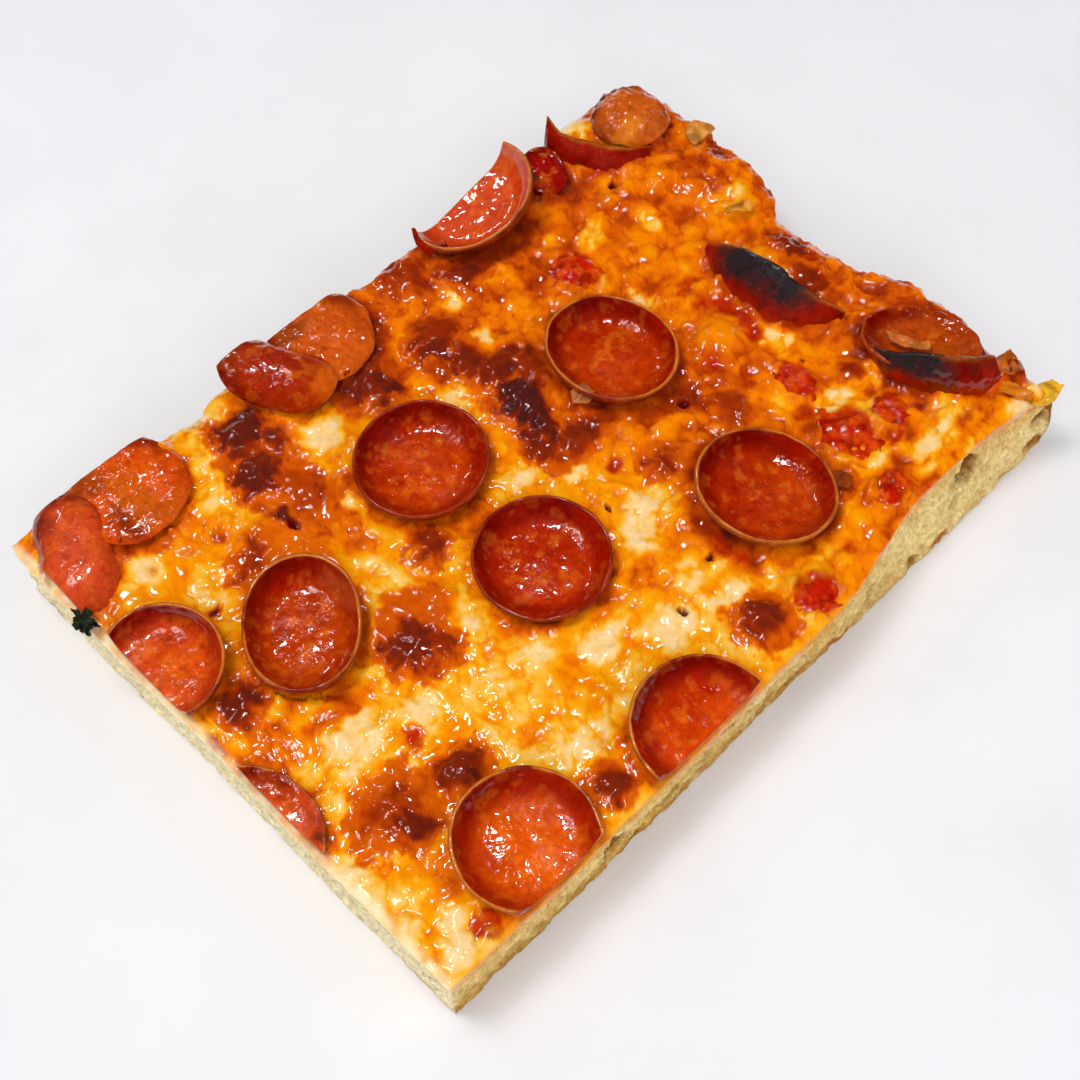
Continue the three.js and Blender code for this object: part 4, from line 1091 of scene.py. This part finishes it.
def cheese_tone(x, y, relief, blistered, ring):
    """How far the cheese is baked, as TONE_STEPS counts it."""
    at = points_of(x, y)
    wx, wy = warped(x, y, (1.8, 6, 61, 62), (0.5, 2, 65, 66))
    domed, seam, lot = melted(x, y)
    given = summed(wx, wy, TONES)
    given = given * np.where(given < 0, 0.4 + 1.0 * domed, 1)
    tone = 0.34 + 0.33 * step(-20, 26, x + 0.3 * y) + given
    tone = tone + 0.1 * noise(at, 9, 63) + 0.09 * noise(points_of(wx, wy), 3.4, 64)
    tone = tone + 0.08 * lot + 0.1 * seam
    tone = tone + 0.06 * step(70, 86, x + 4 * noise(at, 8, 46)) * (y > -52)
    tone = tone - 0.3 * (relief - 0.4)
    tone = tone + 0.1 * (step(0.22, 0.42, tone) - 0.5) + 0.08 * (step(0.7, 0.86, tone) - 0.5)
    tone = np.where(tone < 0.1, 0.1 + 0.5 * (tone - 0.1), tone)
    tone = tone + ring * (0.4 + 0.25 * noise(at, 5, 67)) * step(1.3, 0.7, tone)
    return np.maximum(tone, blistered)


def cheese_paint(x, y, relief, blistered, pits, ring):
    """The colour of the baked cheese and how oily it is."""
    at = points_of(x, y)
    fine = noise(at, 1.8, 68)
    tone = cheese_tone(x, y, relief, blistered, ring) + 0.03 * fine
    levels = [level for level, _ in TONE_STEPS]
    shades = np.array([shade for _, shade in TONE_STEPS])
    paint = np.stack([np.interp(tone, levels, shades[:, k]) for k in range(3)], axis=-1)
    red = summed(*warped(x, y, (1.2, 4, 69, 70)), RED)
    red = step(0.2, 0.8, red + 0.3 * noise(at, 3, 71) - 0.3 * (relief - 0.2))
    sauce = mix(SAUCE_RED, SAUCE_DEEP, 0.3 + 0.6 * fine)
    paint = mix(paint, sauce, 0.9 * red * step(1.5, 1.1, tone))
    # the pits show sauce, painted far darker than the sauce as painted shade in the hollow
    paint = mix(paint, SAUCE_DEEP * 0.4, step(0.1, 0.7, pits))
    wet = 0.75 + 0.2 * noise(at, 6, 72) + 0.1 * step(0.9, 1.3, tone) - 0.15 * step(0.2, -0.1, tone)
    return paint, wet


def ragged(along, much, seed):
    """Uneven steps of about much mm along an edge."""
    line = points_of(along, 0)
    return much * (noise(line, 5, seed) + 0.8 * noise(line, 1.8, seed + 1) - 0.3)


def cheese_sheet():
    """The grid of points that the top shows, with their colours and wetness."""
    columns, rows = CHEESE_STEPS
    flat = filled(CHEESE_EDGES, columns, rows)
    x, y = flat[..., 0], flat[..., 1]
    x = x + ragged(y, 0.5, 90) * step(columns - 12, columns - 1, np.arange(columns))
    y = y + ragged(x, 0.22, 91) * step(rows - 8, rows - 1, np.arange(rows))[:, None]
    height, relief, blistered, pits = cheese_form(x, y)
    lap = tomato_rims(x, y) * (0.6 + noise(points_of(x, y), 3, 73))
    stuck = blade_laps(x, y) * (0.9 + noise(points_of(x, y), 3.4, 47))
    height = height + relief + np.clip(lap, 0, 1.6) + np.clip(stuck, 0, 2)
    height, ring = press(height, x, y)
    ring = np.maximum(ring, 0.7 * blade_laps(x, y))
    column = np.minimum(np.arange(columns), np.arange(columns)[::-1])[None, :]
    row = np.minimum(np.arange(rows), np.arange(rows)[::-1])[:, None]
    inwards = np.minimum(column, row) * CHEESE_SPACING
    height = height - EDGE_DROP * step(EDGE_WIDTH, 0, inwards)
    paint, wet = cheese_paint(x, y, relief, blistered, pits, ring)
    patchy = 0.9 + 0.5 * noise(points_of(x, y), 2.4, 92)
    paint = mix(paint, PALE_CHEESE, 0.75 * patchy * step(-81.6, -83.2, x))
    paint = mix(paint, EDGE_CHEESE, 0.4 * patchy * step(-58.8, -60, y))
    return points_of(x, y, height), paint, wet


def make_cheese():
    """The whole top: a fine sheet that folds down over the sides and closes underneath."""
    sheet, paint, wet = cheese_sheet()
    sheet, paint = sheet.reshape(-1, 3), paint.reshape(-1, 3)
    shell = Shell()
    numbers = shell.add(sheet, paint, wet.ravel()).reshape(wet.shape)
    edge = border(numbers)
    top = sheet[edge]
    shade = paint[edge]
    flat_top = top * (1, 1, 0)
    out = outward(top[:, :2])
    drip = noise(flat_top, 7, 65) + 0.5 * noise(flat_top, 2.2, 66)
    pale = step(0.5, 0.9, -out[:, 0])
    hang = np.clip(1.5 + 1.5 * drip + 1.2 * step(60, 80, top[:, 0]) - pale, 0.5, 4.2)
    shell.underside(top[:, :2] - out * 1.2, CHEESE_BOTTOM, ORANGE, 0.8)
    for share, reach in CHEESE_FOLD:
        bulge = reach + 0.12 * noise(flat_top + (0, 0, 4 * share), 1.8, 67)
        place = np.column_stack([top[:, :2] + out * bulge[:, None], top[:, 2] - share * hang])
        place[:, 1] = np.clip(place[:, 1], CUT_FRONT - 0.5, CUT_BACK + 0.45)
        fried = mix(mix(ORANGE, DEEP_ORANGE, 0.3 + drip), PALE_CHEESE, pale)
        shell.row(place, mix(shade, fried, 0.25 + 0.5 * share), 0.8)
    shell.join(edge)
    shell.faces += cell_faces(numbers)
    return shell.piece("cheese_top")


# ------------------------------------------------------------------ bread and sauce

BREAD_COLUMN = 0.42  # spacing of the points round the bread
BREAD_LEVELS = np.concatenate([[0, 0.25, 0.6], np.linspace(1, 15.8, 40), [16.1, 16.3]])
PORES = [  # how many, smallest and largest half width, depth as a share of it
    (4200, 0.4, 0.8, 0.8), (1000, 0.7, 1.5, 0.6), (90, 1.4, 2.6, 0.6),
]
HOLES = [  # y of the cut, x, z, half width, half height, depth
    (CUT_FRONT, 63, 11.2, 4, 2.8, 3.6), (CUT_FRONT, -43, 8.2, 3, 3.4, 2.6),
    (CUT_FRONT, -28, 6.2, 4.4, 1.7, 2.4), (CUT_FRONT, -22, 8, 3, 1.6, 2),
    (CUT_FRONT, -12, 9, 2, 1.4, 1.6), (CUT_FRONT, 30, 8, 2.2, 1.2, 1.4),
    (CUT_BACK, 8, 8, 5, 2.2, 2.6), (CUT_BACK, -46, 6.4, 3.4, 1.8, 2),
]
FRIED_SPOTS = [(21, 1.4, 6, 1.6), (52, 1.6, 4, 1.8)]  # x, z, half length and height on the front
SAUCE_FROM = 15.6
SAUCE_TO = 16.9
SAUCE_SIDE = ((15.8, -0.3), (16.1, 0), (16.4, 0.05), (16.7, -0.1))  # level, how far out
SAUCE_HELD_BACK = 1.2  # how far inside the cheese's edge the sauce ends


def smooth_along(pairs, x):
    """The value at x of a line through pairs, eased between them."""
    at, values = np.array(pairs, float).T
    index = np.clip(np.searchsorted(at, x) - 1, 0, len(at) - 2)
    share = step(0, 1, (x - at[index]) / (at[index + 1] - at[index]))
    return values[index] + (values[index + 1] - values[index]) * share


def pore_depths(loop):
    """Depth of the crumb's pores and holes over the bread's side, one row for each level."""
    rng = np.random.default_rng(71)
    length = len(loop) * BREAD_COLUMN
    at = np.arange(len(loop)) * BREAD_COLUMN
    levels = BREAD_LEVELS[:, None]
    depth = np.zeros((len(BREAD_LEVELS), len(loop)))
    for count, least, most, share in PORES:
        for _ in range(count):
            size = rng.uniform(least, most)
            wide = size * rng.uniform(1, 1.7)
            where = rng.uniform(0, length)
            level = rng.uniform(0.6, 16)
            near = np.flatnonzero(np.abs(at - where) < wide)
            hollow = 1 - ((at[near] - where) / wide) ** 2 - ((levels - level) / size) ** 2
            depth[:, near] = np.maximum(depth[:, near], share * size * np.clip(hollow, 0, 1))
    for cut, x, z, wide, tall, deep in HOLES:
        on_cut = np.abs(loop[:, 1] - cut) < 1
        hollow = 1 - ((loop[:, 0] - x) / wide) ** 2 - ((levels - z) / tall) ** 2
        depth = np.maximum(depth, deep * step(0, 0.35, hollow) * on_cut)
    return depth


def walked(edges, spacing):
    """The outline of four edges in even steps, anticlockwise."""
    front, right, back, left = (even_curve(edges[side], 400)
                                for side in ("front", "right", "back", "left"))
    return even_loop(np.concatenate([front[:-1], right[:-1], back[:0:-1], left[:0:-1]]), spacing)


def bread_paint(points, crust, front, depth):
    """Cream crumb, painted paler on the cuts other than the front as painted light, oily under the
    cheese, with olive painted shade low on the front cut towards the left and painted shade in
    the pores and holes, browned below, and fried where it met the pan."""
    x, z = points[:, 0], points[:, 2]
    blotch = noise(points, 6, 72)
    fine = noise(points, 1.4, 73)
    # painted light and shade: the cuts other than the front are painted paler than the front cut,
    # which faces away from the lamps
    crumb = mix(CRUMB_LIT, CRUMB, front)
    # painted shade on the front cut: olive, stronger towards the left and lower down
    front_shade = front * (1 - 0.8 * step(10, 50, x))
    crumb = mix(crumb, CRUMB_SHADE, front_shade * (0.5 + 0.5 * blotch))
    crumb = mix(crumb, CRUMB_GRAIN_AND_SHADE, 0.8 * front_shade * step(9, 1, z + 2.5 * blotch + 1.5 * fine))
    flecks = step(0, 0.7, noise(points, 1.3, 77, 2))
    crumb = mix(crumb, CRUMB_GRAIN_AND_SHADE * 0.8, (0.04 + 0.14 * front) * flecks)
    crumb = mix(crumb, CRUMB, 0.5 * step(0.1, 0.8, noise(points, 1.7, 80, 2)))
    oily = np.clip(step(10, 15, z + 1.5 * blotch) + 0.2 * blotch, 0, 1)
    crumb = mix(crumb, CRUMB_OILY, (0.1 + 0.4 * front) * oily)
    # painted shade in the pores and holes, darker the deeper they are
    crumb = mix(crumb, CRUMB_GRAIN_AND_SHADE * 0.7, (0.1 + 0.4 * front) * step(0.1, 1.2, depth))
    crumb = mix(crumb, CRUMB_HOLE_SHADOW, (0.2 + 0.7 * front) * step(0.8, 1.5, depth))
    baked = step(1.5, 0.3, z + 0.6 * fine) * (0.3 + 0.6 * blotch)
    spots = sum(patch(x, z, row) for row in FRIED_SPOTS) * front
    baked = np.maximum(baked, step(0.1, 0.5, spots + 0.2 * fine))
    crumb = mix(crumb, CRUST_BROWN, baked)
    fried = mix(CRUST_BROWN, CRUST_DARK, 0.45 + 0.6 * blotch + 0.3 * fine)
    return mix(crumb, fried, crust)


def baked_paint(points):
    """The browned underside."""
    return mix(CRUST_BROWN, CRUST_DARK, 0.5 + 0.5 * noise(points, 9, 78)
               + 0.3 * noise(points, 2, 79))


def make_bread():
    """The thick base: torn crumb at the cuts, a fried side towards the pan, a browned underside."""
    loop = walked(BREAD_EDGES, BREAD_COLUMN)
    out = outward(loop)
    crust = step(0.5, 0.9, out[:, 0])
    front = step(0.5, 0.9, -out[:, 1])
    depth = pore_depths(loop) * (1 - crust)
    lean = smooth_along(FRONT_SLANT, loop[:, 0]) * front
    shell = Shell()
    shell.underside(loop - 0.8 * out, 0.15, baked_paint, 0.45)
    for level, pores in zip(BREAD_LEVELS, depth):
        at = points_of(loop[:, 0], loop[:, 1], level)
        inset = np.interp(level, *np.array(PAN_CRUST_INSET, float).T) * crust
        uneven = (0.3 * noise(at, 8, 74) + (0.3 - 0.16 * crust) * noise(at, 2.2, 75)) * (
            0.4 + 0.6 * step(0, 6, level)) - 0.3
        rounded = 0.5 * step(0.7, 0, level) + 0.8 * step(15.4, 16.3, level)
        slant = lean * (level / BREAD_TOP) ** 1.3
        reach = np.minimum(uneven, 0.25) - inset - slant - pores * step(-2, 3, level) - rounded
        place = np.column_stack([loop + out * reach[:, None], np.full(len(loop), level)])
        wet = 0.8 * step(11, 15, level + 2 * noise(at, 6, 76)) + 0.4 * crust
        shell.row(place, bread_paint(place, crust, front, pores), wet)
    shell.lid(place[:, :2] - 0.5 * out, BREAD_LEVELS[-1], CRUMB_OILY, 0.5)
    return shell.piece("bread_base")


def make_sauce():
    """The sauce between bread and cheese, which oozes a little at the cuts."""
    loop = walked(CHEESE_EDGES, 0.7)
    out = outward(loop)
    ooze = 0.6 * noise(points_of(loop[:, 0], loop[:, 1]), 4, 81) - SAUCE_HELD_BACK
    shell = Shell()
    shell.underside(loop - 3 * out, SAUCE_FROM, SAUCE_RED, 0.8)
    for level, reach in SAUCE_SIDE:
        place = np.column_stack([loop + out * (reach + ooze)[:, None], np.full(len(loop), level)])
        shell.row(place, mix(SAUCE_RED, ORANGE, 0.55 + 0.6 * noise(place, 4, 82)), 0.8)
    shell.lid(loop - 2 * out, SAUCE_TO, SAUCE_RED, 0.8)
    return shell.piece("sauce_layer")


# ------------------------------------------------------------------ tomato and leaf


def make_tomato(name):
    """A wet lump of tomato pulp."""
    x, y, rx, ry, turn, top = TOMATOES[name]
    bm = bmesh.new()
    bmesh.ops.create_icosphere(bm, subdivisions=5, radius=1)
    ball = np.array([v.co for v in bm.verts])
    faces = [[v.index for v in f.verts] for f in bm.faces]
    bm.free()
    half = (top - CHEESE_BOTTOM - 1.3) / 2
    swell = 1 + 0.24 * noise(ball * 3 + (x, y, 0), 1.8, 91)
    points = ball * (rx, ry, half) * swell[:, None]
    seen = points + (x, y, 0)
    pulp = 0.5 * noise(seen, 3, 92) + 0.2 * noise(seen, 1.6, 93, 2)
    points = points + ball * pulp[:, None] * (0.6, 0.6, 1)
    turn = math.radians(turn)
    spin = np.array([[math.cos(turn), -math.sin(turn), 0], [math.sin(turn), math.cos(turn), 0],
                     [0, 0, 1]])
    points = points @ spin.T + (x, y, CHEESE_BOTTOM + 0.6 + half)
    paint = mix(SAUCE_RED, TOMATO_BRIGHT, 0.4 + 0.9 * noise(points, 2.4, 94))
    paint = mix(paint, SAUCE_DEEP, 0.8 * step(0, 0.7, noise(points, 2, 95)))
    paint = mix(paint, DEEP_ORANGE, step(0.6, 0.1, ball[:, 2] + 0.1 * noise(points, 1.2, 97)))
    return make_piece(name + "_pulp", points, faces, paint, np.full(len(points), 0.9))


def make_leaf():
    """A scorched leaf folded over the left cut, with a crinkled edge."""
    rings, around = 14, 96
    angle = round_angles(around)
    share = np.linspace(0.04, 1, rings)[:, None]
    edge = 1 + 0.22 * np.sin(5 * angle) + 0.1 * np.sin(11 * angle + 1) + 0.06 * np.sin(23 * angle)
    x = LEAF_MIDDLE[0] + LEAF_HALF[0] * share * edge * np.cos(angle)
    y = LEAF_MIDDLE[1] + LEAF_HALF[1] * share * edge * np.sin(angle)
    flat = points_of(x, y)
    crinkle = 0.7 * noise(flat, 2.2, 96) * share + 0.25 * noise(flat, 0.8, 97)
    droop = 0.9 * np.maximum(LEAF_FOLDS_AT - x, 0)
    z = LEAF_LEVEL - droop + 0.35 * share * np.sin(3 * angle + 1) + crinkle
    x = np.maximum(x + 0.5 * noise(flat, 2, 98), LEAF_REACH)
    layers = [np.stack([x, y, z + side * 0.2], axis=-1).reshape(-1, 3) for side in (1, -1)]
    points = np.concatenate(layers)
    numbers = np.arange(rings * around).reshape(rings, around)
    under = numbers + rings * around
    faces = cell_faces(numbers[::-1], wrap=True) + cell_faces(under, wrap=True)
    faces += [numbers[0].tolist(), under[0][::-1].tolist()]
    faces += cell_faces(np.stack([under[-1], numbers[-1]]), wrap=True)
    paint = mix(LEAF_GREEN, LEAF_DARK, 0.5 + 0.9 * noise(points, 2, 99))
    return make_piece("herb_leaf_scorched", points, faces, paint,
                      0.5 + 0.5 * noise(points, 1.5, 100))


def make_scrap(name):
    """A thin, wavy scrap of fried cheese with a ragged edge."""
    level, wave, shade, corners = SCRAPS[name]
    loop = even_loop(np.array(corners, float), 0.4)
    area = np.sum(loop[:, 0] * np.roll(loop[:, 1], -1) - loop[:, 1] * np.roll(loop[:, 0], -1))
    loop = loop if area > 0 else loop[::-1]
    ragged_by = 0.22 * noise(points_of(loop[:, 0], loop[:, 1]), 1.5, 83)
    loop = loop + outward(loop) * ragged_by[:, None]

    def sheet(side):
        return lambda ring: level + wave * noise(points_of(ring[:, 0], ring[:, 1]), 2.4, 84) + side

    def fried(place):
        return mix(colour(*shade), colour(*shade) * 0.4, 0.3 + 0.6 * noise(place, 1.8, 85))

    shell = Shell()
    shares = (0.1, 0.3, 0.5, 0.7, 0.85, 0.95)
    shell.across(loop, sheet(-0.25), fried, 0.6, shares)
    shell.across(loop, sheet(0), fried, 0.6, (1.0,))
    shell.across(loop, sheet(0.25), fried, 0.7, shares[::-1])
    shell.faces.append(shell.last.tolist())
    return shell.piece(name)


# ------------------------------------------------------------------ put together

dress(make_bread(), BREAD_CRUMB, "bread", "bread")
dress(make_sauce(), STEWED_TOMATO, "sauce", "tomato_sauce")
dress(make_cheese(), BAKED_CHEESE, "cheese", "cheese")
for slice_name in SLICES:
    dress(make_slice(slice_name), CURED_MEAT, "pepperoni", slice_name)
for blade_name in BLADES:
    stands_for = () if blade_name in SLICES else (blade_name,)
    dress(make_blade(blade_name), CURED_MEAT, "pepperoni", *stands_for)
dress(make_shred(), CURED_MEAT, "pepperoni")
for tomato_name in TOMATOES:
    dress(make_tomato(tomato_name), STEWED_TOMATO, "tomato", tomato_name)
dress(make_leaf(), SCORCHED_HERB, "herb", "herb_leaf")
for scrap_name in SCRAPS:
    dress(make_scrap(scrap_name), FRIED_CHEESE, "cheese")

# ------------------------------------------------------------------ floor, light and camera


FLOOR_HALF = 3.0  # in metres
LIGHT_DISTANCE = 1.2
KEY = (-0.23, 0.24, 0.944)
LAMPS = [  # name, direction, size in metres, watts
    ("key", KEY, 0.4, 5.7), ("fill_left", (-0.5, -0.45, 0.74), 0.8, 4),
    ("fill_right", (0.3, -0.8, 0.5), 0.8, 2.4),
]
GLINTS = [  # the same, for lamps that only show mirrored in what is wet
    ("glint_1", KEY, 0.16, 5.4), ("glint_2", (0.06, 0.2, 0.98), 0.1, 2.2),
    ("glint_3", (0.1, 0.75, 0.65), 0.08, 0.6),
]
SKY = (0.985, 0.985, 1.0, 1)
SKY_STRENGTH = 0.45
CAMERA_PLACE = (-135.755, -128.828, 307.327)
CAMERA_TARGET = (-4.160, -2.412, 0)
CAMERA_ROLL = math.radians(1.04)
CAMERA_LENS = 59.167


def make_floor():
    """A wide sheet of pale paper."""
    mesh = bpy.data.meshes.new("floor")
    corners = [(x * FLOOR_HALF, y * FLOOR_HALF, 0) for x, y in ((-1, -1), (1, -1), (1, 1), (-1, 1))]
    mesh.from_pydata(corners, [], [(0, 1, 2, 3)])
    floor = bpy.data.objects.new("floor", mesh)
    bpy.context.scene.collection.objects.link(floor)
    shade = Shade("pale_paper")
    cloud = shade.spread(shade.noise(60, 4), 0.3, 0.7, 0.0, 1.0)
    base = shade.blend("MIX", cloud, colour(240, 240, 243), colour(234, 234, 237))
    shade.set(Base_Color=base, Roughness=0.85)
    mesh.materials.append(shade.material)


def make_light(name, direction, size, watts, mirrored=False):
    """A square lamp that shines at the slice from a direction, or one that only shows mirrored in
    what is wet."""
    lamp = bpy.data.lights.new(name, "AREA")
    lamp.size = size
    lamp.energy = watts
    light = bpy.data.objects.new(name, lamp)
    way = Vector(direction).normalized()
    light.location = way * LIGHT_DISTANCE
    light.rotation_euler = way.to_track_quat("Z", "Y").to_euler()
    light.visible_glossy = mirrored
    light.visible_diffuse = not mirrored
    bpy.context.scene.collection.objects.link(light)


def make_camera():
    """The camera, over the corner between the left and the front cut."""
    place = Vector((np.array(CAMERA_PLACE) + SHIFT) / 1000)
    target = Vector((np.array(CAMERA_TARGET) + SHIFT) / 1000)
    ahead = (target - place).normalized()
    level = ahead.cross(Vector((0, 0, 1))).normalized()
    upright = level.cross(ahead)
    right = level * math.cos(CAMERA_ROLL) + upright * math.sin(CAMERA_ROLL)
    up = upright * math.cos(CAMERA_ROLL) - level * math.sin(CAMERA_ROLL)
    data = bpy.data.cameras.new("camera")
    data.lens = CAMERA_LENS
    data.sensor_width = 36
    data.clip_start = 0.01
    camera = bpy.data.objects.new("camera", data)
    turn = Matrix((right, up, -ahead)).transposed()
    camera.matrix_world = Matrix.Translation(place) @ turn.to_4x4()
    bpy.context.scene.collection.objects.link(camera)
    bpy.context.scene.camera = camera


def make_surroundings():
    """The even light of a studio, which nothing mirrors."""
    world = bpy.data.worlds.new("studio")
    world.use_nodes = True
    background = world.node_tree.nodes["Background"]
    background.inputs["Color"].default_value = SKY
    background.inputs["Strength"].default_value = SKY_STRENGTH
    world.cycles_visibility.glossy = False
    scene = bpy.context.scene
    scene.world = world
    scene.view_settings.view_transform = "Standard"
    scene.view_settings.look = "None"


make_floor()
for lamp_row in LAMPS:
    make_light(*lamp_row)
for lamp_row in GLINTS:
    make_light(*lamp_row, mirrored=True)
make_camera()
make_surroundings()
